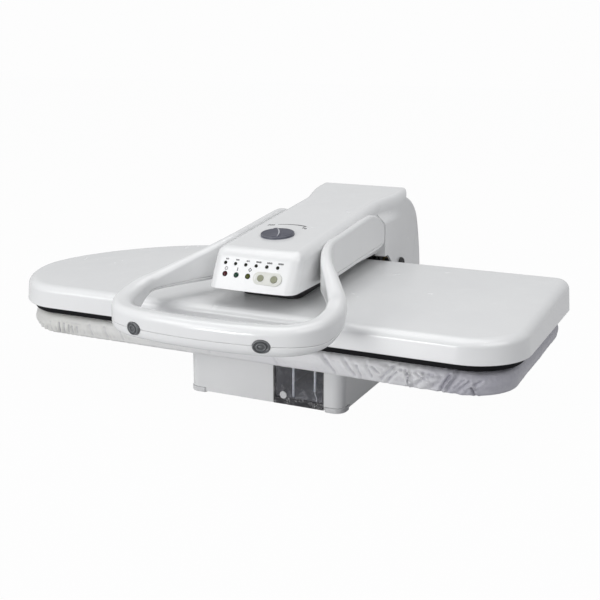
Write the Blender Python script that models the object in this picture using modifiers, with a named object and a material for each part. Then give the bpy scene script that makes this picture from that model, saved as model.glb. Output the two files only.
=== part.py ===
# Steam ironing press, compact table model: base with water tank, padded board,
# heated shoe on a hinged arm, handle loop with two steam buttons.
# Metres, +Z up, the front of the press faces -Y. Run it in Blender 4.5.
import bpy
import bmesh
from math import atan2, cos, pi, radians, sin
from mathutils import Matrix, Vector

# General clearances and walls, and the share of a rounding at which its middle point lies
GAP = 0.0003
RUN_GAP = 0.0006
CUT_OVER = 0.004
PLASTIC_WALL = 0.0025
ROUND_SIDES = 18
SMALL_SIDES = 12
EDGE_SHARE = 0.3

# Shoe, the heated upper half: a straight front and back, a blunt nose at the left
SHOE_FRONT = 0.1455
SHOE_REAR = 0.150
SHOE_RIGHT = 0.326
SHOE_LEFT = 0.371
SHOE_FRONT_CORNER = 0.068
SHOE_BACK_CORNER = 0.022
NOSE_FRONT_START = 0.285
NOSE_BACK_START = 0.150
NOSE_TIP_FORWARD = 0.043
NOSE_FRONT_PULL = 0.045
NOSE_TIP_FRONT_PULL = 0.050
NOSE_TIP_BACK_PULL = 0.070
NOSE_BACK_PULL = 0.105
NOSE_STEPS = 9
CORNER_STEPS = 6
CORNER_LEAST = 0.002
SHOE_RIM_Z = 0.101
SHOE_TOP_Z = 0.141
SHOE_FRONT_TOP_Z = 0.1282
SHOE_DRAFT = 0.002
SHOE_EDGE_RADIUS = 0.013
SHOE_EDGE_STEPS = 4

# Heat plate and what lies on it
PLATE_INSET = 0.010
PLATE_THICKNESS = 0.005
PLATE_DROP = 0.0075
PLATE_EDGE_BEVEL = 0.0015
SEAL_WIDTH = 0.011
SEAL_HEIGHT = 0.005
ELEMENT_RADIUS = 0.0035
ELEMENT_INSET = 0.055
CHAMBER_LENGTH = 0.200
CHAMBER_DEPTH = 0.110
CHAMBER_HEIGHT = 0.014
STANDOFF_RADIUS = 0.004
STANDOFF_INSET = 0.032

# Board, the padded lower half
BOARD_BOTTOM_Z = 0.065
COVER_INSET = 0.012
COVER_THICKNESS = 0.0012
COVER_TUCK = 0.020
COVER_LOWER_ROUND = 0.004
COVER_CROWN_ROUND = 0.009
COVER_BULGE = 0.0012
TRAY_THICKNESS = 0.002

# Base box
BASE_HALF_WIDTH = 0.106
BASE_FRONT = 0.0945
BASE_REAR = 0.235
BASE_CORNER = 0.013
REAR_RELIEF = 0.003
BASE_SKIRT_Z = 0.002
FOOT_SIZE = 0.0235
FOOT_HEIGHT = 0.0065
FOOT_PROUD = 0.0010
FOOT_INNER_ROUND = 0.004
FLOOR_THICKNESS = 0.0015

# Water tank in the front of the base
TANK_LEFT = 0.014
TANK_RIGHT = 0.082
TANK_DEPTH = 0.170
TANK_WALL = 0.002
TANK_FACE = 0.003
TANK_TOP_GAP = 0.004
TANK_PLUG_RADIUS = 0.0048
TANK_PLUG_RISE = 0.0015
TANK_PLUG_UP = 0.012
TANK_PLUG_IN = 0.014
TUBE_RADIUS = 0.0018
TUBE_SET_BACK = 0.006
TUBE_SHORT_SHARE = 0.62
TUBE_FIRST_SHARE = 0.37
TUBE_SECOND_SHARE = 0.80

# Pump behind the tank and the cord inlet at the rear
PUMP_LENGTH = 0.060
PUMP_RADIUS = 0.016
PUMP_AXIS_X = 0.080
GLAND_RADIUS = 0.0075
GLAND_LENGTH = 0.022
GLAND_Z = 0.030
GLAND_X = 0.070

# Main hinge: column, pin, springs
HINGE_Y = 0.2005
HINGE_Z = 0.1245
HINGE_PIN_RADIUS = 0.005
COLUMN_HALF_WIDTH = 0.039
COLUMN_CHEEK = 0.003
COLUMN_BEHIND = 0.012
COLUMN_AHEAD = 0.036
COLUMN_FOOT_HALF_WIDTH = 0.062
COLUMN_FOOT_AHEAD = 0.090
COLUMN_HEAD_RADIUS = 0.013
COLUMN_BACK_DROP = 0.014
SLEEVE_WALL = 0.002
SLEEVE_HEIGHT = 0.018
SLEEVE_SIDE_GAP = 0.008
BUSH_WALL = 0.0022
BUSH_FLANGE = 0.0012
SPRING_WIRE_RADIUS = 0.0013
SPRING_MEAN_RADIUS = 0.0095
SPRING_TURNS = 6
SPRING_PITCH = 0.0035
SPRING_TURN_POINTS = 10
SPRING_LEG = 0.014

# Arm: covers and frame
ARM_HALF_WIDTH = 0.0575
ARM_REAR_HALF_WIDTH = 0.070
ARM_BOTTOM_Z = 0.150
ARM_HEAD_FOOT = 0.128
ARM_HEAD_TOP = 0.104
ARM_TOP_MID_Z = 0.2055
ARM_TOP_SLOPE_SHARE = 0.098
ARM_WIDE_START = 0.1380
ARM_TOP_END = 0.2330
ARM_NOTCH_Y = 0.2310
ARM_NOTCH_Z = 0.2160
ARM_SPLIT_TOP_Y = 0.270
ARM_SPLIT_TOP_Z = 0.186
ARM_SPLIT_FOOT_Y = 0.2525
ARM_REAR_FOOT_Z = 0.099
ARM_REAR_FOOT_Y = 0.206
ARM_SHOULDER_Y = 0.150
ARM_SHOULDER_Z = 0.146
ARM_EDGE_ROUND = 0.010
ARM_WIDE_EDGE_ROUND = 0.016
ARM_BOW = 0.003
HEEL_START_PULL = (0.0135, -0.0045)
HEEL_END_PULL = (-0.0065, 0.0130)
HEEL_STEPS = 4
HEEL_ROUND = 0.006
REAR_COVER_BACK = 0.292
REAR_COVER_BACK_Z = 0.107
REAR_START_PULL = (0.009, -0.018)
REAR_END_PULL = (-0.0025, 0.026)
FRAME_SIDE_GAP = 0.0085
FRAME_PLATE = 0.0025
FRAME_LOW_Z = 0.1555
FRAME_FRONT = 0.080
FRAME_NECK_Y = 0.176
FRAME_PIVOT_ROOM = 0.012
FRAME_BOSS_SHARE = 5 / 6
CAP_RADIUS = 0.0085
CAP_HEIGHT = 0.0045
UNDER_COVER_RECESS = 0.001
UNDER_COVER_END = 0.1442

# Bracket that carries the shoe
BRACKET_THICKNESS = 0.004
BRACKET_FRONT = 0.066
BRACKET_REAR = 0.084
POST_RADIUS = 0.005
POST_SIDE = 0.030
POST_END_MARGIN = 0.014

# Control head
SMALL_LENS_RADIUS = 0.0018
SMALL_LENS_PITCH = 0.0140
SMALL_LENS_COUNT = 6
SMALL_LENS_FIRST_X = 0.0388
SMALL_LENS_UP = 0.0324
BIG_LENS_RADIUS = 0.0030
BIG_LENS_PITCH = 0.0157
BIG_LENS_COUNT = 3
BIG_LENS_FIRST_X = 0.0364
BIG_LENS_UP = 0.0187
LENS_PROUD = 0.0006
LENS_DEPTH = 0.0045
BEZEL_HALF_LENGTH = 0.019
BEZEL_HALF_HEIGHT = 0.0080
BEZEL_X = 0.0208
BEZEL_UP = 0.0180
BEZEL_DEPTH = 0.0035
BEZEL_PROUD = 0.0004
PAD_RADIUS = 0.0044
PAD_PITCH = 0.0177
PAD_PROUD = 0.0012
PAD_LENGTH = 0.0075
PAD_TRAVEL = 0.0008
PAD_FLAT_SHARE = 0.8
BOARD_BACK_SET = 0.0115
PCB_THICKNESS = 0.0016
PCB_HEIGHT = 0.022
PCB_UP = 0.0155

# Temperature dial on the sloping top
DIAL_X = -0.006
DIAL_Y = 0.0405
DIAL_RADIUS = 0.0212
DIAL_HEIGHT = 0.0042
DIAL_RIB_HEIGHT = 0.0015
DIAL_RIB_WIDTH = 0.005
DIAL_EDGE = 0.002
DIAL_SIDES = 32
SHAFT_RADIUS = 0.003
THERMOSTAT_RADIUS = 0.013
THERMOSTAT_HEIGHT = 0.012

# Handle loop: centreline half width, reach to the front, heights above the table
HANDLE_PIVOT_Y = 0.109
HANDLE_PIVOT_Z = 0.184
HANDLE_PIN_RADIUS = 0.005
HANDLE_HALF_WIDTH = 0.129
HANDLE_REACH = 0.247
HANDLE_PLATE_X = 0.0655
HANDLE_REAR = 0.1335
HANDLE_PLATE_THICKNESS = 0.010
HANDLE_GRIP_THICKNESS = 0.025
HANDLE_LOW_Z = 0.1145
HANDLE_RISE = 0.0985
HANDLE_WALL = 0.0022
HANDLE_BAR_HEIGHT = 0.020
HANDLE_BAR_FRONT = 0.014
HANDLE_STEPS = 2
SECTION_HALF_SHARE = 0.75
SECTION_HIGH_SHARE = 0.8
SECTION_STEPS = 3

# Crank on the handle pin and the toggle link down to the column
CRANK_LENGTH = 0.032
CRANK_ANGLE = radians(10)
LINK_FOOT_Y = 0.190
LINK_FOOT_Z = 0.090
LINK_THICKNESS = 0.006
LINK_HALF_WIDTH = 0.0085
LINK_EYE_SLACK = 0.0030
LINK_PIN_RADIUS = 0.003
CRANK_STRAP = 0.003
CRANK_HALF_WIDTH = 0.008

# Steam buttons in the front of the handle
STEAM_X = 0.080
STEAM_HALF_LENGTH = 0.011
STEAM_HALF_HEIGHT = 0.008
STEAM_DEPTH = 0.009
STEAM_PROUD = 0.0022
STEAM_TRAVEL = 0.0025
STEAM_TURN = radians(20)
SWITCH_LENGTH = 0.010
SWITCH_HEIGHT = 0.008
SWITCH_DEPTH = 0.004

# Colour, roughness and metallic value of each material
FINISHES = {
    "white_plastic": ((0.86, 0.87, 0.88), 0.22, 0.0),
    "grey_plastic": ((0.17, 0.18, 0.20), 0.40, 0.0),
    "dial_plastic": ((0.10, 0.105, 0.14), 0.38, 0.0),
    "bezel_plastic": ((0.60, 0.58, 0.50), 0.45, 0.0),
    "pad_rubber": ((0.36, 0.34, 0.27), 0.60, 0.0),
    "smoke_plastic": ((0.035, 0.038, 0.045), 0.12, 0.0),
    "tube_plastic": ((0.80, 0.80, 0.78), 0.40, 0.0),
    "black_rubber": ((0.012, 0.012, 0.013), 0.70, 0.0),
    "foot_rubber": ((0.55, 0.55, 0.54), 0.65, 0.0),
    "cover_fabric": ((0.60, 0.60, 0.62), 0.75, 0.0),
    "pad_foam": ((0.70, 0.66, 0.50), 0.95, 0.0),
    "steel_zinc": ((0.55, 0.56, 0.57), 0.35, 1.0),
    "spring_steel": ((0.30, 0.30, 0.31), 0.30, 1.0),
    "plate_aluminium": ((0.10, 0.10, 0.11), 0.45, 0.6),
    "cast_aluminium": ((0.50, 0.50, 0.50), 0.50, 1.0),
    "brass_metal": ((0.70, 0.55, 0.25), 0.35, 1.0),
    "circuit_green": ((0.02, 0.16, 0.07), 0.50, 0.0),
    "lens_red": ((0.28, 0.01, 0.02), 0.15, 0.0),
    "lens_green": ((0.02, 0.22, 0.06), 0.15, 0.0),
    "lens_yellow": ((0.30, 0.32, 0.03), 0.15, 0.0),
    "lens_dark": ((0.05, 0.05, 0.04), 0.15, 0.0),
}


def clear_scene():
    for obj in list(bpy.data.objects):
        bpy.data.objects.remove(obj, do_unlink=True)


def make_collection(name):
    made = bpy.data.collections.new(name)
    bpy.context.scene.collection.children.link(made)
    return made


clear_scene()
parts = make_collection("steam_ironing_press")
cutters = make_collection("cutters")
materials = {}


def material(name):
    if name not in materials:
        colour, rough, metal = FINISHES[name]
        made = bpy.data.materials.new(name)
        made.use_nodes = True
        shader = made.node_tree.nodes["Principled BSDF"]
        shader.inputs["Base Color"].default_value = (*colour, 1)
        shader.inputs["Roughness"].default_value = rough
        shader.inputs["Metallic"].default_value = metal
        materials[name] = made
    return materials[name]


def add_object(name, mesh, finish, home=None):
    obj = bpy.data.objects.new(name, mesh)
    (home or parts).objects.link(obj)
    if finish:
        mesh.materials.append(material(finish))
    else:
        obj.hide_render = True
        obj.display_type = "WIRE"
    return obj


def from_bmesh(name, bm, finish, home=None):
    bmesh.ops.recalc_face_normals(bm, faces=bm.faces)
    mesh = bpy.data.meshes.new(name)
    bm.to_mesh(mesh)
    bm.free()
    return add_object(name, mesh, finish, home)


def box_into(bm, low, high):
    made = bmesh.ops.create_cube(bm, size=1)["verts"]
    size = [b - a for a, b in zip(low, high)]
    middle = [(a + b) / 2 for a, b in zip(low, high)]
    bmesh.ops.scale(bm, vec=size, verts=made)
    bmesh.ops.translate(bm, vec=middle, verts=made)
    return made


def box(name, low, high, finish, home=None):
    bm = bmesh.new()
    box_into(bm, low, high)
    return from_bmesh(name, bm, finish, home)


def cylinder_into(bm, start, end, radius, sides=ROUND_SIDES):
    start, end = Vector(start), Vector(end)
    run = end - start
    turn = run.to_track_quat("Z", "Y").to_matrix().to_4x4()
    place = Matrix.Translation((start + end) / 2) @ turn
    bmesh.ops.create_cone(bm, cap_ends=True, segments=sides, radius1=radius,
                          radius2=radius, depth=run.length, matrix=place)


def rods(name, runs, radius, finish, sides=ROUND_SIDES, home=None):
    bm = bmesh.new()
    for start, end in runs:
        cylinder_into(bm, start, end, radius, sides)
    return from_bmesh(name, bm, finish, home)


def mesh_from_curve(name, curve_obj, finish, home=None):
    bpy.context.view_layer.update()
    seen = curve_obj.evaluated_get(bpy.context.evaluated_depsgraph_get())
    mesh = bpy.data.meshes.new_from_object(seen)
    bm = bmesh.new()
    bm.from_mesh(mesh)
    bmesh.ops.remove_doubles(bm, verts=bm.verts, dist=GAP / 10)
    bmesh.ops.recalc_face_normals(bm, faces=bm.faces)
    bm.to_mesh(mesh)
    bm.free()
    mesh.materials.clear()
    place = curve_obj.matrix_world.copy()
    bpy.data.objects.remove(curve_obj, do_unlink=True)
    obj = add_object(name, mesh, finish, home)
    obj.matrix_world = place
    return obj


def flat_curve(name, outlines, thickness):
    data = bpy.data.curves.new(name, "CURVE")
    data.dimensions = "2D"
    data.fill_mode = "BOTH"
    data.extrude = thickness / 2
    for outline in outlines:
        spline = data.splines.new("POLY")
        spline.points.add(len(outline) - 1)
        for point, (u, v) in zip(spline.points, outline):
            point.co = (u, v, 0, 1)
        spline.use_cyclic_u = True
    obj = bpy.data.objects.new(name, data)
    parts.objects.link(obj)
    return obj


def plan_plate(name, outlines, low_z, high_z, finish, home=None):
    # outlines in X and Y, standing from low_z to high_z
    obj = flat_curve(name, outlines, high_z - low_z)
    obj.location.z = (low_z + high_z) / 2
    return mesh_from_curve(name, obj, finish, home)


def side_plate(name, outlines, left_x, right_x, finish, home=None):
    # outlines in Y and Z, standing from left_x to right_x
    obj = flat_curve(name, outlines, right_x - left_x)
    middle_x = (left_x + right_x) / 2
    obj.matrix_world = Matrix(((0, 0, 1, middle_x), (1, 0, 0, 0), (0, 1, 0, 0), (0, 0, 0, 1)))
    return mesh_from_curve(name, obj, finish, home)


def bevel(obj, width, segments=2, angle=radians(30)):
    mod = obj.modifiers.new("rounded", "BEVEL")
    mod.width = width
    mod.segments = segments
    mod.limit_method = "ANGLE"
    mod.angle_limit = angle
    return obj


def round_chosen(obj, width, segments, share, angle=radians(30)):
    # rounds each sharp edge by its share of width: share(middle, direction) is 0 to 1
    place = obj.matrix_world
    bm = bmesh.new()
    bm.from_mesh(obj.data)
    weights = []
    for edge in bm.edges:
        start, end = (place @ vert.co for vert in edge.verts)
        middle = (start + end) / 2
        sharp = len(edge.link_faces) == 2 and edge.calc_face_angle() > angle
        weights.append(float(share(middle, (end - start).normalized())) if sharp else 0.0)
    bm.free()
    layer = obj.data.attributes.new("bevel_weight_edge", "FLOAT", "EDGE")
    layer.data.foreach_set("value", weights)
    mod = obj.modifiers.new("rounded", "BEVEL")
    mod.width = width
    mod.segments = segments
    mod.limit_method = "WEIGHT"
    mod.use_clamp_overlap = False
    return obj


def cut(obj, cutter, operation="DIFFERENCE"):
    mod = obj.modifiers.new("cut", "BOOLEAN")
    mod.operation = operation
    mod.solver = "EXACT"
    mod.object = cutter
    return obj


def circle(middle_u, middle_v, radius, sides=ROUND_SIDES):
    turns = [2 * pi * k / sides for k in range(sides)]
    return [(middle_u + radius * cos(a), middle_v + radius * sin(a)) for a in turns]


def arc(middle_u, middle_v, radius, start, end, steps):
    turns = [start + (end - start) * k / steps for k in range(steps + 1)]
    return [(middle_u + radius * cos(a), middle_v + radius * sin(a)) for a in turns]


def round_rectangle(left, right, front, rear, radius, steps=4):
    points = arc(right - radius, front + radius, radius, -pi / 2, 0, steps)
    points += arc(right - radius, rear - radius, radius, 0, pi / 2, steps)
    points += arc(left + radius, rear - radius, radius, pi / 2, pi, steps)
    points += arc(left + radius, front + radius, radius, pi, 3 * pi / 2, steps)
    return points


def stadium(start, end, radius, steps=8):
    # round-ended bar from start to end in any plane
    lean = atan2(end[1] - start[1], end[0] - start[0])
    points = arc(end[0], end[1], radius, lean - pi / 2, lean + pi / 2, steps)
    points += arc(start[0], start[1], radius, lean + pi / 2, lean + 3 * pi / 2, steps)
    return points


def cubic(p0, p1, p2, p3, steps):
    points = []
    for k in range(1, steps + 1):
        t = k / steps
        s = 1 - t
        weights = (s ** 3, 3 * s * s * t, 3 * s * t * t, t ** 3)
        held = list(zip(weights, (p0, p1, p2, p3)))
        points.append(tuple(sum(weight * point[axis] for weight, point in held) for axis in (0, 1)))
    return points


def board_outline(inset=0.0):
    # counterclockwise from the front right corner, drawn in by inset all round
    points = []
    for corner, reach, turn in ((SHOE_FRONT_CORNER, -SHOE_FRONT + inset, -pi / 2),
                                (SHOE_BACK_CORNER, SHOE_REAR - inset, 0)):
        radius = max(corner - inset, CORNER_LEAST)
        middle_y = reach + (radius if turn else -radius)
        points += arc(SHOE_RIGHT - inset - radius, middle_y, radius, turn, turn + pi / 2, CORNER_STEPS)
    back_start = (-NOSE_BACK_START, SHOE_REAR)
    tip = (-SHOE_LEFT, -NOSE_TIP_FORWARD)
    front_start = (-NOSE_FRONT_START, -SHOE_FRONT)
    nose = [back_start]
    nose += cubic(back_start, (back_start[0] - NOSE_BACK_PULL, back_start[1]),
                  (tip[0], tip[1] + NOSE_TIP_BACK_PULL), tip, NOSE_STEPS)
    nose += cubic(tip, (tip[0], tip[1] - NOSE_TIP_FRONT_PULL),
                  (front_start[0] - NOSE_FRONT_PULL, front_start[1]), front_start, NOSE_STEPS)
    ahead = [(back_start[0] + SHOE_RIGHT, back_start[1])] + nose
    after = nose[1:] + [(front_start[0] + SHOE_RIGHT, front_start[1])]
    for before, here, beyond in zip(ahead, nose, after):
        first = Vector((here[0] - before[0], here[1] - before[1])).normalized()
        second = Vector((beyond[0] - here[0], beyond[1] - here[1])).normalized()
        along = (first + second).normalized()
        reach = inset / along.dot(first)
        points.append((here[0] - along.y * reach, here[1] + along.x * reach))
    return points


def loft(name, rings, finish, cap_start=True, cap_end=True, home=None):
    # bridges rings of equal point counts into one surface
    bm = bmesh.new()
    rows = [[bm.verts.new(point) for point in ring] for ring in rings]
    count = len(rows[0])
    for lower, upper in zip(rows, rows[1:]):
        for k in range(count):
            after = (k + 1) % count
            bm.faces.new((lower[k], lower[after], upper[after], upper[k]))
    if cap_start:
        bm.faces.new(list(reversed(rows[0])))
    if cap_end:
        bm.faces.new(rows[-1])
    return from_bmesh(name, bm, finish, home)


def shoe_height(y, z):
    # the shoe's rim is level and its top falls to the front: z is the height at the rear edge
    share = (y + SHOE_FRONT) / (SHOE_REAR + SHOE_FRONT)
    top = SHOE_FRONT_TOP_Z + share * (SHOE_TOP_Z - SHOE_FRONT_TOP_Z)
    return SHOE_RIM_Z + (z - SHOE_RIM_Z) * (top - SHOE_RIM_Z) / (SHOE_TOP_Z - SHOE_RIM_Z)


def board_shell(name, profile, wall, finish, height=None):
    # profile is a list of (inset, z) from the open rim to the closed top
    rings = [[(x, y, height(y, z) if height else z) for x, y in board_outline(inset)]
             for inset, z in profile]
    obj = loft(name, rings, finish, cap_start=False)
    mod = obj.modifiers.new("wall", "SOLIDIFY")
    mod.thickness = wall
    mod.offset = -1
    mod.use_even_offset = True
    return obj


def turned(name, profile, finish, place, steps=ROUND_SIDES, home=None):
    # profile is (radius, height) from the top down its outer side, turned about local Z
    mesh = bpy.data.meshes.new(name)
    mesh.from_pydata([(r, 0, z) for r, z in profile], [(k, k + 1) for k in range(len(profile) - 1)], [])
    obj = add_object(name, mesh, finish, home)
    mod = obj.modifiers.new("turn", "SCREW")
    mod.steps = steps
    mod.render_steps = steps
    mod.use_merge_vertices = True
    mod.merge_threshold = GAP / 10
    obj.matrix_world = place
    return obj


def arm_top(y):
    return ARM_TOP_MID_Z + ARM_TOP_SLOPE_SHARE * y


# Heights that follow from the driving sizes
plate_bottom = SHOE_RIM_Z - PLATE_DROP
plate_top = plate_bottom + PLATE_THICKNESS
cover_top = plate_bottom - GAP
web_under = PLASTIC_WALL + GAP + FRAME_PLATE
tray_low = BOARD_BOTTOM_Z + COVER_THICKNESS + GAP
tray_top = tray_low + TRAY_THICKNESS
base_top = BOARD_BOTTOM_Z - GAP
floor_low = FOOT_HEIGHT + GAP
floor_top = floor_low + FLOOR_THICKNESS
hinge_bore = HINGE_PIN_RADIUS + GAP
bush_radius = HINGE_PIN_RADIUS + GAP + BUSH_WALL
frame_half = ARM_HALF_WIDTH - PLASTIC_WALL - FRAME_SIDE_GAP
face_lean = atan2(ARM_HEAD_FOOT - ARM_HEAD_TOP, arm_top(-ARM_HEAD_TOP) - ARM_BOTTOM_Z)
link_pin_spot = (LINK_FOOT_Y, LINK_FOOT_Z)
crank_tip = (HANDLE_PIVOT_Y + CRANK_LENGTH * cos(CRANK_ANGLE),
             HANDLE_PIVOT_Z + CRANK_LENGTH * sin(CRANK_ANGLE))


def hinge_cutter():
    reach = ARM_REAR_HALF_WIDTH + CUT_OVER
    return rods("hinge_bore_cutter", [((-reach, HINGE_Y, HINGE_Z), (reach, HINGE_Y, HINGE_Z))],
                hinge_bore, None, home=cutters)


def make_board():
    foam_inset = COVER_INSET + COVER_THICKNESS + GAP + COVER_BULGE
    tray = plan_plate("board_tray", [board_outline(foam_inset + COVER_LOWER_ROUND)], tray_low, tray_top,
                      "steel_zinc")
    # a flat pressed down middle inside the tucked cloth stands on the base
    pressed = plan_plate("tray_middle_cutter", [board_outline(COVER_INSET + COVER_TUCK + COVER_LOWER_ROUND)],
                         BOARD_BOTTOM_Z, tray_low + TRAY_THICKNESS / 2, None, cutters)
    cut(tray, pressed, "UNION")
    foam_top = cover_top - COVER_THICKNESS - GAP
    round_in = COVER_CROWN_ROUND
    profile = [(foam_inset, tray_top + GAP),
               (foam_inset, foam_top - round_in),
               (foam_inset + round_in * EDGE_SHARE, foam_top - round_in * EDGE_SHARE),
               (foam_inset + round_in, foam_top)]
    rings = [[(x, y, z) for x, y in board_outline(inset)] for inset, z in profile]
    loft("board_foam", rings, "pad_foam")
    low = BOARD_BOTTOM_Z
    lower = COVER_LOWER_ROUND
    crown = COVER_CROWN_ROUND
    middle = (low + cover_top) / 2
    skin = [(COVER_INSET + COVER_TUCK, low),
            (COVER_INSET + lower + COVER_BULGE, low),
            (COVER_INSET + COVER_BULGE + lower * EDGE_SHARE, low + lower * EDGE_SHARE),
            (COVER_INSET + COVER_BULGE, low + lower),
            (COVER_INSET, middle),
            (COVER_INSET + COVER_BULGE, cover_top - crown),
            (COVER_INSET + COVER_BULGE + crown * EDGE_SHARE, cover_top - crown * EDGE_SHARE),
            (COVER_INSET + COVER_BULGE + crown, cover_top)]
    board_shell("board_cover", skin, COVER_THICKNESS, "cover_fabric")


def make_shoe():
    wall_top = SHOE_TOP_Z - SHOE_EDGE_RADIUS
    profile = [(0.0, SHOE_RIM_Z)]
    for k in range(SHOE_EDGE_STEPS + 1):
        turn = pi / 2 * k / SHOE_EDGE_STEPS
        profile.append((SHOE_DRAFT + SHOE_EDGE_RADIUS * (1 - cos(turn)),
                        wall_top + SHOE_EDGE_RADIUS * sin(turn)))
    cover = board_shell("shoe_cover", profile, PLASTIC_WALL, "white_plastic", shoe_height)
    cut(cover, post_cutter())
    plate = plan_plate("heat_plate", [board_outline(PLATE_INSET)], plate_bottom, plate_top,
                       "plate_aluminium")
    bevel(plate, PLATE_EDGE_BEVEL, 1)
    seal_low = plate_top + GAP
    plan_plate("shoe_seal", [board_outline(PLATE_INSET), board_outline(PLATE_INSET + SEAL_WIDTH)],
               seal_low, seal_low + SEAL_HEIGHT, "black_rubber")
    lid = plan_plate("steam_chamber", [round_rectangle(-CHAMBER_LENGTH / 2, CHAMBER_LENGTH / 2,
                                                       -CHAMBER_DEPTH / 2,
                                                       CHAMBER_DEPTH / 2, CHAMBER_HEIGHT)],
                     plate_top + GAP, plate_top + GAP + CHAMBER_HEIGHT, "cast_aluminium")
    cut(lid, post_cutter())
    make_element()
    make_standoffs()


def make_element():
    # one tube lies round the plate and ends side by side at the back
    path = board_outline(ELEMENT_INSET)
    data = bpy.data.curves.new("heating_element", "CURVE")
    data.dimensions = "3D"
    data.bevel_depth = ELEMENT_RADIUS
    data.bevel_resolution = 2
    data.use_fill_caps = True
    start = 2 * CORNER_STEPS + 2
    order = path[start:] + path[:start]
    spline = data.splines.new("POLY")
    spline.points.add(len(order) - 1)
    height = plate_top + GAP + ELEMENT_RADIUS
    for point, (x, y) in zip(spline.points, order):
        point.co = (x, y, height, 1)
    obj = bpy.data.objects.new("heating_element", data)
    parts.objects.link(obj)
    mesh_from_curve("heating_element", obj, "steel_zinc")


def make_standoffs():
    low = plate_top + GAP
    spots = board_outline(STANDOFF_INSET)
    nose = 2 * CORNER_STEPS + 2
    chosen = ((CORNER_STEPS // 2, "front_right"), (nose - 1 - CORNER_STEPS // 2, "rear_right"),
              (nose + NOSE_STEPS // 2, "rear_left"), (nose + NOSE_STEPS + NOSE_STEPS // 2 + 1, "front_left"))
    for k, where in chosen:
        high = shoe_height(spots[k][1] - STANDOFF_RADIUS, SHOE_TOP_Z) - PLASTIC_WALL - GAP
        rods("shoe_standoff_" + where, [((*spots[k], low), (*spots[k], high))], STANDOFF_RADIUS,
             "steel_zinc", SMALL_SIDES)


def post_spots():
    rows = (-BRACKET_FRONT + POST_END_MARGIN, BRACKET_REAR - POST_END_MARGIN)
    return [(side * POST_SIDE, y) for side in (-1, 1) for y in rows]


def post_cutter():
    runs = [((x, y, plate_top - PLATE_THICKNESS), (x, y, FRAME_LOW_Z + CUT_OVER)) for x, y in post_spots()]
    return rods("post_bore_cutter", runs, POST_RADIUS + RUN_GAP, None, home=cutters)


def make_bracket():
    # steel plate between the frame cheeks with four posts down to the heat plate
    half = frame_half - FRAME_PLATE - GAP
    low = FRAME_LOW_Z + GAP
    plate = box("shoe_bracket", (-half, -BRACKET_FRONT, low), (half, BRACKET_REAR, low + BRACKET_THICKNESS),
                "steel_zinc")
    foot = plate_top + GAP
    posts = rods("bracket_posts", [((x, y, foot), (x, y, low + BRACKET_THICKNESS / 2)) for x,
                                   y in post_spots()],
                 POST_RADIUS, None, home=cutters)
    cut(plate, posts, "UNION")


def foot_outline(side_x, side_y):
    # a boot on one corner of the base: the base's own rounding outside, small ones inside
    reach = FOOT_SIZE + FOOT_PROUD
    outer = BASE_CORNER + FOOT_PROUD
    inner = FOOT_INNER_ROUND
    points = arc(reach - outer, reach - outer, outer, 0, pi / 2, CORNER_STEPS)
    for u, v, turn in ((inner, reach - inner, pi / 2), (inner, inner, pi),
                       (reach - inner, inner, 3 * pi / 2)):
        points += arc(u, v, inner, turn, turn + pi / 2, 2)
    start_x = BASE_HALF_WIDTH + FOOT_PROUD - reach
    start_y = (BASE_FRONT if side_y < 0 else BASE_REAR) + FOOT_PROUD - reach
    placed = [(side_x * (start_x + u), side_y * (start_y + v)) for u, v in points]
    return placed if side_x == side_y else placed[::-1]


def make_feet():
    bm = bmesh.new()
    for side_y, row in ((-1, "front"), (1, "rear")):
        for side_x, hand in ((-1, "left"), (1, "right")):
            foot = plan_plate("foot_" + row + "_" + hand, [foot_outline(side_x, side_y)], 0,
                              FOOT_HEIGHT, "foot_rubber")
            bevel(foot, FOOT_PROUD, 1)
            outline = foot_outline(side_x, side_y)
            low = [min(p[k] for p in outline) - GAP for k in (0, 1)] + [-CUT_OVER]
            high = [max(p[k] for p in outline) + GAP for k in (0, 1)] + [FOOT_HEIGHT + GAP]
            box_into(bm, low, high)
    return from_bmesh("foot_cutter", bm, None, cutters)


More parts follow.
